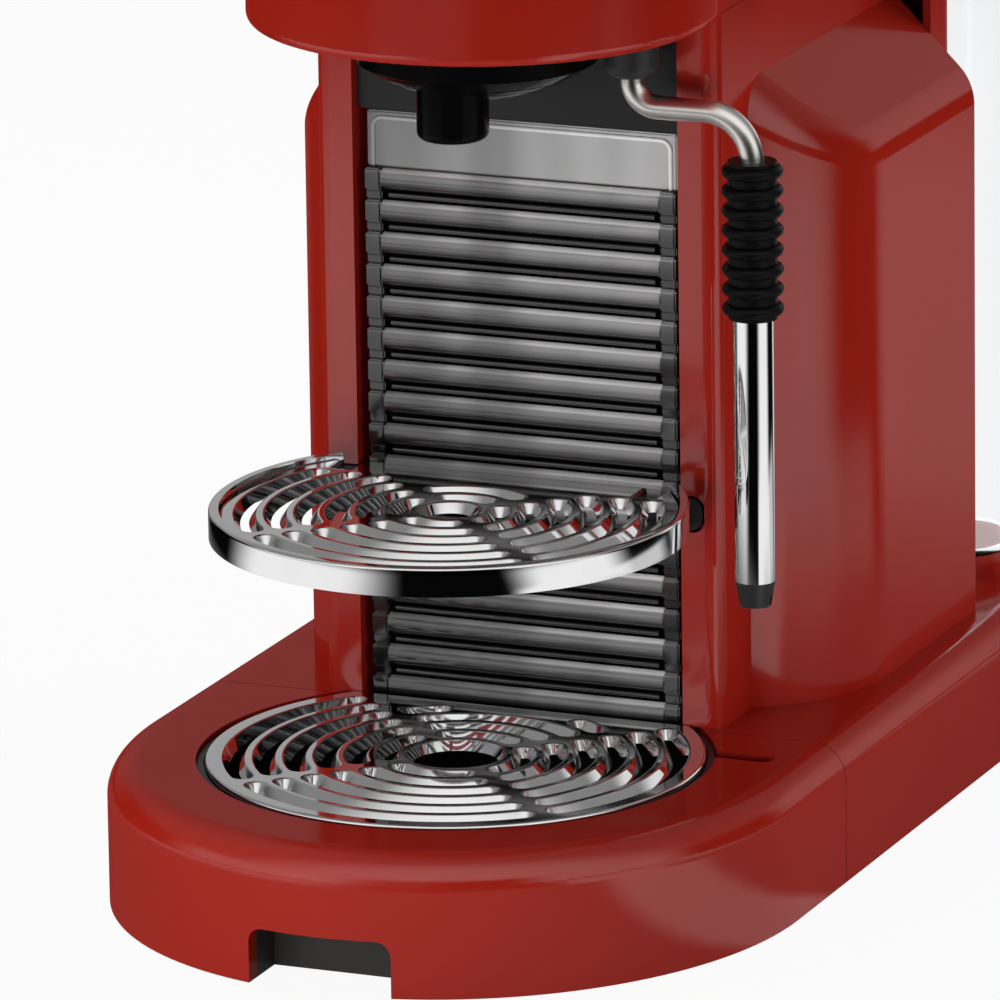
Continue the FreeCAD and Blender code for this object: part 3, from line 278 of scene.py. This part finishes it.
def ring_slots(outer, reach):
    """Every slot as its ring's radius and the angles of its ends. No slot passes reach at the back."""
    quarter = math.pi / 2
    for index in range(grid_rings):
        ring = outer - slot_half - index * grid_pitch
        span = quarter / 2 - math.asin((grid_spoke / 2 + slot_half) / ring)
        stop = math.asin(min(1, (reach - slot_half) / ring))
        yield ring, -quarter - span, -quarter + span
        sides = [(-span, min(span, stop))]
        if ring + slot_half < reach:
            yield ring, quarter - span, quarter + span
        else:
            sides.append((quarter - span, stop))
        for start, end in sides:
            if end > start + shortest_slot:
                yield ring, start, end
                yield ring, math.pi - end, math.pi - start


def plate_loop(radius, back, inset, notches):
    """Points round the plate: from its right back corner round the front, then along the straight back."""
    edge = radius - inset
    corner = math.asin((back - inset) / edge)
    span = math.pi + 2 * corner
    points = [ring_point(corner - span * step / rim_steps, edge) for step in range(rim_steps + 1)]
    for left, right, front in notches:
        sides = [(left - inset, back), (left - inset, front), (right + inset, front), (right + inset, back)]
        points += [(x, y - inset) for x, y in sides]
    return points


def stack(mesh, loops):
    """Walls between loops of points that lie one under the other. Gives back the rows of corners."""
    rows = [[mesh.verts.new(point) for point in loop] for loop in loops]
    for upper, lower in zip(rows, rows[1:]):
        for index in range(len(upper)):
            mesh.faces.new((upper[index - 1], upper[index], lower[index], lower[index - 1])).smooth = True
    return rows


def flat_face(mesh, rows):
    """A flat face, in triangles, that fills what lies between the rows."""
    edges = [mesh.edges.get((row[index - 1], row[index])) for row in rows for index in range(len(row))]
    bmesh.ops.triangle_fill(mesh, use_beauty=True, use_dissolve=False, edges=edges, normal=(0, 0, 1))


def slotted_plate(node, rim, reach, notches=()):
    """A round plate with ring slots, a little smaller than the node and with the node's straight back."""
    low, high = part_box(node)
    full = (high.x - low.x) / 2
    middle_y = low.y + full
    radius = full - grid_play
    rim_fall = lip(math.pi / 2) + [(0.0, grid_thickness)]
    slot_fall = lip(slot_slope)
    inset, depth = slot_fall[-1]
    slot_fall.append((inset - (grid_thickness - depth) / math.tan(slot_slope), grid_thickness))

    def level(points, depth):
        """Points of the plate at a depth under its top, placed in the frame."""
        return [(x, y + middle_y, high.z - depth) for x, y in points]

    mesh = bmesh.new()
    back = high.y - middle_y
    cuts = [(left, right, front - middle_y) for left, right, front in notches]
    loops = [level(plate_loop(radius, back, inset, cuts), depth) for inset, depth in rim_fall]
    stacks = [stack(mesh, loops)]
    for ring, start, end in ring_slots(radius - rim, reach - middle_y):
        loops = [level(slot_loop(ring, start, end, slot_half + wide), depth) for wide, depth in slot_fall]
        stacks.append(stack(mesh, loops))
    hole = radius - rim - grid_rings * grid_pitch
    turns = [2 * math.pi * step / hole_steps for step in range(hole_steps)]
    loops = [level([ring_point(turn, hole + wide) for turn in turns], depth) for wide, depth in slot_fall]
    stacks.append(stack(mesh, loops))
    flat_face(mesh, [rows[0] for rows in stacks])
    flat_face(mesh, [rows[-1] for rows in stacks])
    return mesh


def settle(name, mesh, finish, slot, body, *nodes):
    """Makes a drawn mesh into a piece that takes a finish, rides on a body and stands for nodes."""
    bmesh.ops.recalc_face_normals(mesh, faces=mesh.faces)
    for edge in mesh.edges:
        edge.smooth = edge.calc_face_angle(0) < sharp_bend
    data = bpy.data.meshes.new(name)
    mesh.to_mesh(data)
    mesh.free()
    data.materials.append(finish.material)
    piece = bpy.data.objects.new(name, data)
    bpy.context.scene.collection.objects.link(piece)
    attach(piece, body)
    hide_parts(*nodes)


grid_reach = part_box("drip_grid")[1].y - grid_rim
grid_mesh = slotted_plate("drip_grid", grid_rim, grid_reach)
settle("drip_grid_plate", grid_mesh, chrome_plate, "chrome_plate", "drip_grid", "drip_grid")


# Capsule container: one clear smoke-grey moulding, open at the top, that drops into the drawer.
# Half-round bars cross its front between two rows of end blocks, with a thin bar in each groove.
# A bead frames the plain window over the bars. The moulding is opaque, with light and shade painted into its
# colour.
bar_count = 17
bar_pitch = 9.68 * MM
bar_height = 6.7 * MM
bar_depth = 2.5 * MM
bar_steps = 16
groove_depth = 4.0 * MM
thin_half = 0.85 * MM
thin_setback = 2.0 * MM
block_width = 5.0 * MM
block_step = 1.2 * MM
block_edge = 0.5 * MM
block_bends = 2
tub_wall = 2.0 * MM
window_height = 17.0 * MM
bead_inset = 2.0 * MM
bead_radius = 0.7 * MM
bead_bend = 3.0 * MM
bead_sides = 10
bead_steps = 6

tub_low, tub_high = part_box("capsule_container")
bar_face = tub_low.y + bar_depth
wall_face = bar_face + groove_depth
bar_end = tub_high.x - block_width
window_foot = tub_high.z - window_height
first_bar = window_foot - bar_height / 2

smoke_clear = Finish("smoke_clear", Specular_IOR_Level=0.9, IOR=1.49)
smoke_haze = smoke_clear.place.noise(scale=30, detail=3)
# Streaks painted into the colour stand for what shows through the clear plastic.
see_through_streaks = smoke_clear.place.noise(scale=38, detail=1, stretch=(1, 1, 0.1))
across, inward, upward = [smoke_clear.place.part(axis) for axis in "XYZ"]

# Painted shade of the bars: each falls off from its top edge, which has a painted highlight line.
# The lower bars and the end blocks are painted darker, and painted streaks stand for what shows through.
bar_dark = 0.02
glow_light = 0.34
glint_light = 0.8
block_light = 0.15
foot_light = 0.4
fall = ((window_foot - upward) * (1 / bar_pitch)).math("FRACT")
bar_glow = (1 - fall.between(0.05, 0.62)) * glow_light
bar_glint = (1 - fall.between(0.09, 0.16)) * glint_light
painted_bar_streaks = 0.8 + see_through_streaks.between(0.42, 0.68) * 0.7
end_blocks = across.math("ABSOLUTE").between(bar_end - block_edge, bar_end + block_edge)
block_dim = 1 - end_blocks * (1 - block_light)
foot_dim = foot_light + upward.between(tub_low.z, tub_high.z) * (1 - foot_light)
bar_shade = (bar_dark + bar_glow + bar_glint) * painted_bar_streaks * block_dim * foot_dim

# Painted shade of the window and its bead, of the whole front, whose right side is painted lit, and of the
# walls behind it.
# Bars and the bead stand proud and get painted light, the bead as a highlight. Groove floors and inner walls
# are painted dark.
window_light = 0.34
bead_light = 0.5
left_light = 0.35
behind_light = 0.10
proud_lit_mask = 1 - inward.between(bar_face - bar_depth * 0.15, bar_face)
window = upward.between(window_foot, window_foot + window_height * 0.06)
window_shade = window * (window_light + see_through_streaks.between(0.4, 0.7) * 0.2 + proud_lit_mask * bead_light)
side_dim = left_light + across.between(tub_low.x * 1.2, tub_high.x) * (1 - left_light)
front_shade = proud_lit_mask.math("MAXIMUM", proud_lit_mask * (1 - window) * bar_shade, window_shade) * side_dim
behind = inward.between(wall_face + tub_wall * 0.2, wall_face + tub_wall)
behind_shade = behind_light + smoke_haze * 0.06
smoke_shade = front_shade * (1 - behind) + behind * behind_shade
# All this painted light and shade goes into the container's base colour.
smoke_clear.vary("Base Color", smoke_shade.blend((0.004, 0.004, 0.004), (1.0, 1.0, 1.0)))
smoke_clear.vary("Roughness", 0.05 + smoke_haze * 0.07)


def block(mesh, low, high):
    """A box between two corners. Gives back its edges."""
    size = Matrix.Diagonal((*(Vector(high) - Vector(low)), 1))
    place = Matrix.Translation((Vector(low) + Vector(high)) / 2)
    made = bmesh.ops.create_cube(mesh, size=1.0, matrix=place @ size)
    return list(dict.fromkeys(edge for corner in made["verts"] for edge in corner.link_edges))


def half_round(mesh, reach, middle, half, depth):
    """A bar along X, half high each way, with a round front depth deep and a root in the wall."""
    radius = (half * half + depth * depth) / (2 * depth)
    swing = math.asin(half / radius)
    angles = [swing * (2 * step / bar_steps - 1) for step in range(bar_steps + 1)]
    front = bar_face - depth
    section = [(1 - math.cos(angle), math.sin(angle)) for angle in angles]
    section = [(front + radius * y, middle + radius * z) for y, z in section]
    section += [(wall_face, middle + half), (wall_face, middle - half)]
    for row in stack(mesh, [[(x, y, z) for y, z in section] for x in (-reach, reach)]):
        mesh.faces.new(row)


def bead(mesh, points):
    """A thin round bead along points in the container's face."""
    depthwise = Vector((0, 1, 0))
    turns = [2 * math.pi * side / bead_sides for side in range(bead_sides)]
    rows = []
    for index, point in enumerate(points):
        ahead = points[min(index + 1, len(points) - 1)] - points[max(index - 1, 0)]
        sideways = ahead.normalized().cross(depthwise)
        around = [sideways * math.cos(turn) + depthwise * math.sin(turn) for turn in turns]
        rows.append([point + offset * bead_radius for offset in around])
    ends = stack(mesh, rows)
    mesh.faces.new(ends[0])
    mesh.faces.new(ends[-1])


tub = bmesh.new()
outer = [(tub_low.x, wall_face), (tub_high.x, wall_face), (tub_high.x, tub_high.y), (tub_low.x, tub_high.y)]
tub_middle = (wall_face + tub_high.y) / 2
inner = [(x - math.copysign(tub_wall, x), y - math.copysign(tub_wall, y - tub_middle)) for x, y in outer]
heights = [(outer, tub_low.z), (outer, tub_high.z), (inner, tub_high.z), (inner, tub_low.z + tub_wall)]
tub_rows = stack(tub, [[(x, y, z) for x, y in loop] for loop, z in heights])
tub.faces.new(tub_rows[0])
tub.faces.new(tub_rows[-1])
for face in tub.faces:
    face.smooth = False
edges = list(tub.edges)
edges += block(tub, (tub_low.x, bar_face, window_foot), (tub_high.x, wall_face, tub_high.z))
for index in range(bar_count):
    low_z = first_bar - index * bar_pitch - bar_height / 2
    high_z = low_z + bar_height
    for left, right in ((-tub_high.x, -bar_end), (bar_end, tub_high.x)):
        edges += block(tub, (left, tub_low.y, low_z), (right, wall_face, high_z))
        if index > 0:
            groove_corner = (left, tub_low.y + block_step, high_z)
            edges += block(tub, groove_corner, (right, wall_face, low_z + bar_pitch))
bmesh.ops.bevel(tub, geom=edges, offset=block_edge, segments=block_bends, affect="EDGES", clamp_overlap=True)
for index in range(bar_count):
    bar_z = first_bar - index * bar_pitch
    half_round(tub, bar_end, bar_z, bar_height / 2, bar_depth)
    if index > 0:
        half_round(tub, bar_end - thin_setback, bar_z + bar_pitch / 2, thin_half, thin_half)
bead_x = tub_high.x - bead_inset
bead_z = tub_high.z - bead_inset
turns = [math.pi / 2 * step / bead_steps for step in range(bead_steps + 1)]
bends = [(1 - math.cos(turn), 1 - math.sin(turn)) for turn in turns]
bends = [(bead_x - bead_bend * x, bead_z - bead_bend * z) for x, z in bends]
right_side = [(bead_x, window_foot)] + bends
left_side = [(-x, z) for x, z in reversed(right_side)]
bead(tub, [Vector((x, bar_face, z)) for x, z in right_side + left_side])
settle("ribbed_container", tub, smoke_clear, "smoke_clear", "drip_drawer", "capsule_container")


# Cup support: a chromed ring round a slotted plate, made like the drip grid, with two lugs under its back.
# Black ears on the container's front carry it, and have plugs that slide into pockets in the posts.
# Steel pins through ears and lugs let the support fold up out of the way.
cup_rim = 4.4 * MM
ear_width = 6.0 * MM
ear_play = 0.3 * MM
ear_room = 2.0 * MM
lug_width = 5.6 * MM
lug_radius = 3.8 * MM
lug_steps = 12
band_wall = 3.0 * MM
band_steps = 200

pin_low, pin_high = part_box("cup_hinge_pins")
pin_middle = (pin_low + pin_high) / 2
lug_outer = pin_high.x
lug_inner = lug_outer - lug_width
ear_inner = lug_inner - ear_width - 2 * ear_play
notch_front = pin_middle.y - lug_radius - ear_room
band_low, band_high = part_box("cup_support_rim")
band_radius = band_high.x
band_inner = band_radius - band_wall
band_y = band_low.y + band_radius


def lug(mesh, side, top):
    """A lug that hangs from the plate and is round under the pin. Its outer face keeps inside the ring."""
    turns = [math.pi * step / lug_steps for step in range(lug_steps + 1)]
    section = [(lug_radius * math.cos(turn), -lug_radius * math.sin(turn)) for turn in turns]
    section = [(pin_middle.y + y, pin_middle.z + z) for y, z in section]
    section += [(pin_middle.y - lug_radius, top), (pin_middle.y + lug_radius, top)]
    near = [(side * lug_inner, y, z) for y, z in section]
    far = [(side * min(lug_outer, math.sqrt(band_inner ** 2 - (y - band_y) ** 2)), y, z) for y, z in section]
    for row in stack(mesh, [near, far]):
        mesh.faces.new(row)


def band_row(share):
    """The band's section at a share of the way from its right end round the front to its left end."""
    section = [(band_inner, band_low.z), (band_radius, band_low.z)]
    section += [(band_radius - inset, band_high.z - depth) for inset, depth in reversed(lip(math.pi / 2))]
    section.append((band_inner, band_high.z))
    row = []
    for radius, z in section:
        corner = math.asin((band_high.y - band_y) / radius)
        x, y = ring_point(corner - (math.pi + 2 * corner) * share, radius)
        row.append((x, y + band_y, z))
    return row


cup_notches = [(-lug_inner, -ear_inner, notch_front), (ear_inner, lug_inner, notch_front)]
cup_mesh = slotted_plate("cup_support_grid", cup_rim, notch_front - cup_rim / 2, cup_notches)
plate_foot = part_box("cup_support_grid")[1].z - grid_thickness
lug(cup_mesh, -1, plate_foot)
lug(cup_mesh, 1, plate_foot)
settle("cup_support_plate", cup_mesh, chrome_plate, "chrome_plate", "cup_support", "cup_support_grid")
band_mesh = bmesh.new()
band_rows = stack(band_mesh, [band_row(step / band_steps) for step in range(band_steps + 1)])
band_mesh.faces.new(band_rows[0])
band_mesh.faces.new(band_rows[-1])
settle("cup_support_band", band_mesh, chrome_plate, "chrome_plate", "cup_support", "cup_support_rim")
black_moulding.on("cup_brackets")
steel.on("cup_hinge_pins")


# Head front: a dark matt panel closes the body between the posts, over the container.
# A polished black dome is moulded to fit under the head, and the coffee outlet comes through it.
panel_grey = Finish("panel_grey", Specular_IOR_Level=0.3)
panel_grain = panel_grey.place.noise(scale=3200)
panel_grey.mottle(panel_grain, (0.014, 0.014, 0.015), (0.022, 0.022, 0.023), roughness=0.42, spread=0.18)
panel_grey.grain(panel_grain, depth=0.03 * MM, strength=0.5)
panel_grey.on("front_upper_panel")

black_gloss = Finish("black_gloss", Specular_IOR_Level=0.06)
gloss_wipe = black_gloss.place.noise(scale=80, detail=3)
black_gloss.mottle(gloss_wipe, (0.0015, 0.0015, 0.0015), (0.003, 0.003, 0.003), roughness=0.08, spread=0.1)
black_gloss.on("head_bowl", "coffee_outlet")


# Lever: a chromed bow on top of the head swings on steel pins in two chromed brackets.
# A gloss black cover on it closes the capsule slot while the lever is down.
chrome_plate.on("lever_handle", "lever_brackets")
steel.on("lever_pins")
black_gloss.on("slot_cover")


# Dials and buttons: two chromed portion dials turn on top of the head, with a mark on each.
# A black moulded push button stands in front of each dial, and the power button is made like them.
chrome_plate.on("espresso_dial", "lungo_dial")
black_moulding.on("espresso_button", "lungo_button", "power_button")


# Steam valve: turned in brass and fixed inside the head, with its steel spindle out to the right.
# A black moulded knob on the spindle's end opens it.
turned_brass = Finish("turned_brass", Metallic=1.0)
brass_lines = turned_brass.place.noise(scale=1200, stretch=(1, 0.05, 0.05))
turned_brass.mottle(brass_lines, (0.60, 0.46, 0.20), (0.76, 0.60, 0.29), roughness=0.18, spread=0.2)
turned_brass.on("steam_valve")
steel.on("steam_spindle")
black_moulding.on("steam_knob")


# Steam wand: a bent satin steel pipe swivels in a black boot under the head.
# A ribbed rubber grip is pushed over the pipe, and a chromed tube with a black tip is its lower end.
satin_steel = Finish("satin_steel", Metallic=1.0)
pipe_wipe = satin_steel.place.noise(scale=45, detail=3)
satin_steel.mottle(pipe_wipe, (0.88, 0.84, 0.80), (0.92, 0.88, 0.84), roughness=0.27, spread=0.08)
satin_steel.on("steam_pipe")

grip_rubber = Finish("grip_rubber", Specular_IOR_Level=0.12)
grip_bloom = grip_rubber.place.noise(scale=500, detail=3)
grip_rubber.mottle(grip_bloom, (0.002, 0.002, 0.002), (0.004, 0.004, 0.004), roughness=0.36, spread=0.14)
grip_rubber.on("wand_grip")

chrome_plate.on("wand_tube")
black_moulding.on("steam_boot", "wand_tip")


# Water tank: a clear moulded tank stands on a red seat behind the body and lifts off.
# It has a black valve in its floor, and a light grey lid that opens on steel pins.
tank_clear = Finish("tank_clear", Transmission_Weight=1.0, IOR=1.2)
tank_haze = tank_clear.place.noise(scale=25, detail=3)
tank_clear.mottle(tank_haze, (0.96, 0.97, 0.98), (0.99, 0.99, 0.99), roughness=0.02, spread=0.03)
tank_clear.on("water_tank")

lid_grey = Finish("lid_grey")
lid_grain = lid_grey.place.noise(scale=1800)
lid_grey.mottle(lid_grain, (0.53, 0.54, 0.55), (0.59, 0.60, 0.61), roughness=0.38, spread=0.15)
lid_grey.on("tank_lid")

satin_red.on("tank_seat")
black_moulding.on("tank_valve")
steel.on("tank_lid_pins")


# Studio: a pale paper floor and a pale surround, soft lamps round the machine, and the camera.
# Polished pieces see white walls left and right, a dark gap towards the camera and a bright ceiling.
# Angles round the machine are degrees from the camera's direction, to the right.
camera_yaw = math.radians(22.834)
camera_pitch = math.radians(15.301)
camera_roll = math.radians(-0.812)
camera_distance = 3.1893
camera_aim = Vector((0, -0.081, 0.060))
camera_shift_right = 0.01313
camera_shift_up = 0.05676
sensor_width = 36
focal_length = 10.966 * sensor_width

flat = math.cos(camera_pitch)
camera_back = Vector((math.sin(camera_yaw) * flat, -math.cos(camera_yaw) * flat, math.sin(camera_pitch)))
camera_level = Vector((math.cos(camera_yaw), math.sin(camera_yaw), 0))
towards_camera = Vector((math.sin(camera_yaw), -math.cos(camera_yaw), 0))
upright = camera_back.cross(camera_level)
camera_right = camera_level * math.cos(camera_roll) + upright * math.sin(camera_roll)
camera_up = upright * math.cos(camera_roll) - camera_level * math.sin(camera_roll)
target = camera_aim + camera_right * camera_shift_right + camera_up * camera_shift_up
camera_data = bpy.data.cameras.new("studio_camera")
camera_data.sensor_width = sensor_width
camera_data.lens = focal_length
camera = bpy.data.objects.new("studio_camera", camera_data)
camera_turn = Matrix((camera_right, camera_up, camera_back)).transposed().to_4x4()
camera.matrix_world = Matrix.Translation(target + camera_back * camera_distance) @ camera_turn
bpy.context.scene.collection.objects.link(camera)
bpy.context.scene.camera = camera

sector_softness = 0.4
gap_light = 0.002
backdrop_light = 0.38
rear_light = 0.8


def sector(angle, middle, half):
    """One inside a soft-edged range of angles and nothing outside it."""
    aside = (angle - math.radians(middle)).math("ABSOLUTE")
    soft = half * sector_softness
    return 1 - aside.between(math.radians(half - soft), math.radians(half + soft))


def angle_of(place):
    """The angle of a place round the machine."""
    right = place.vector("DOT_PRODUCT", camera_level)
    front = place.vector("DOT_PRODUCT", towards_camera)
    return place.math("ARCTAN2", right, front)


def studio_light(place):
    """How bright the studio looks in a polished surface: white walls, a dark gap and a dim backdrop."""
    angle = angle_of(place)
    backdrop = angle.math("ABSOLUTE").between(math.radians(140), math.radians(170))
    left_wall = sector(angle, middle=-68, half=34)
    right_wall = sector(angle, middle=52, half=24)
    rear_wall = sector(angle, middle=140, half=18)
    return gap_light + backdrop * backdrop_light + left_wall + right_wall + rear_wall * rear_light


def light_paths(tree):
    """What the rays are that reach a surface: seen straight or through clear pieces, or mirrored."""
    straight, through, mirrored = [
        Field(tree).node("ShaderNodeLightPath", {}, {}, kind)
        for kind in ("Is Camera Ray", "Is Transmission Ray", "Is Glossy Ray")
    ]
    return straight.math("MAXIMUM", straight, through), mirrored


floor_reach = 40.0
floor_drop = 0.2 * MM
floor_white = 0.93
wing_light = 0.65
near_light = 0.2
floor_mesh = bpy.data.meshes.new("studio_floor")
corners = [Vector((x, y, 0)) * floor_reach for x, y in ((-1, -1), (1, -1), (1, 1), (-1, 1))]
floor_mesh.from_pydata([corner - Vector((0, 0, floor_drop)) for corner in corners], [], [(0, 1, 2, 3)])
floor = bpy.data.objects.new("studio_floor", floor_mesh)
bpy.context.scene.collection.objects.link(floor)

# The paper as painted, and as polished pieces mirror it: lit from the walls, with a card and a wing near by.
# Its distances are metres from the machine's middle.
paper = Finish("studio_floor", Roughness=0.8, Specular_IOR_Level=0.1)
paper_fibre = paper.place.noise(scale=300, detail=3)
paper.vary("Base Color", paper_fibre.blend((0.80, 0.80, 0.80), (0.84, 0.84, 0.84)))
painted = Field(paper.tree, paper.shader.outputs[0])
away = paper.place.vector("LENGTH")
round_about = angle_of(paper.place)
wall_light = studio_light(paper.place) * away.between(0.25, 0.5) * (1 - away.between(0.85, 1.2))
card = sector(round_about, middle=33, half=10) * (1 - away.between(0.45, 0.6))
wing = sector(round_about, middle=92, half=18) * away.between(0.32, 0.42) * (1 - away.between(0.5, 0.56))
near = 1 - away.between(0.3, 0.45)
floor_light = wall_light + card + wing * wing_light + near * near_light
seen, mirrored = light_paths(paper.tree)
white = seen.node("ShaderNodeEmission", {}, {"Strength": 1.0})
black = seen.node("ShaderNodeEmission", {}, {"Strength": 0.0})
lit_floor = seen.node("ShaderNodeMixShader", {}, {0: floor_light, 1: black, 2: white})
unseen_floor = seen.node("ShaderNodeMixShader", {}, {0: mirrored, 1: painted, 2: lit_floor})
whole_floor = seen.node("ShaderNodeMixShader", {}, {0: seen * floor_white, 1: unseen_floor, 2: white})
paper.tree.links.new(whole_floor.socket, paper.tree.nodes["Material Output"].inputs["Surface"])
floor_mesh.materials.append(paper.material)

# The surround is white to the eye, gives a little light all round, and holds the walls and the ceiling.
ambient = 0.06
ceiling_rear = 0.25
world = bpy.data.worlds.new("studio_surround")
bpy.context.scene.world = world
world.use_nodes = True
background = world.node_tree.nodes["Background"]
seen, mirrored = light_paths(world.node_tree)
sky = seen.node("ShaderNodeTexCoord", {}, {}, "Generated")
overhead = sky.part("Z").between(0.25, 0.45)
frontal = sky.vector("DOT_PRODUCT", towards_camera).between(0.0, 0.6)
ceiling = ceiling_rear + frontal * (1 - ceiling_rear)
surround = studio_light(sky) * (1 - overhead) + overhead * ceiling
strength = ambient + seen * (1 - ambient) + mirrored * (surround - ambient)
world.node_tree.links.new(strength.socket, background.inputs["Strength"])
background.inputs["Color"].default_value = (1, 1, 1, 1)

# Lamps light the machine only: polished pieces mirror the walls above, not the lamps.
lamp_aim = Vector((0, -0.05, 0.14))


def soft_lamp(name, azimuth, elevation, distance, width, height, watts):
    """A soft lamp that looks at the machine and isn't seen itself, straight or in a mirror."""
    angle = math.radians(azimuth)
    rise = math.radians(elevation)
    out = (towards_camera * math.cos(angle) + camera_level * math.sin(angle)) * math.cos(rise)
    out += Vector((0, 0, math.sin(rise)))
    data = bpy.data.lights.new(name, "AREA")
    data.shape = "RECTANGLE"
    data.size = width
    data.size_y = height
    data.energy = watts
    lamp = bpy.data.objects.new(name, data)
    lamp.location = lamp_aim + out * distance
    lamp.rotation_euler = out.to_track_quat("Z", "Y").to_euler()
    lamp.visible_glossy = False
    lamp.visible_camera = False
    bpy.context.scene.collection.objects.link(lamp)


soft_lamp("left_softbox", azimuth=-30, elevation=-3, distance=0.6, width=0.5, height=0.2, watts=2.2)
soft_lamp("right_strip", azimuth=62, elevation=4, distance=0.5, width=0.12, height=0.4, watts=0.8)
soft_lamp("right_softbox", azimuth=128, elevation=20, distance=1.4, width=0.8, height=0.8, watts=9)
soft_lamp("top_softbox", azimuth=-125, elevation=42, distance=1.6, width=1.2, height=1.2, watts=17)

bpy.context.scene.view_settings.view_transform = "Standard"
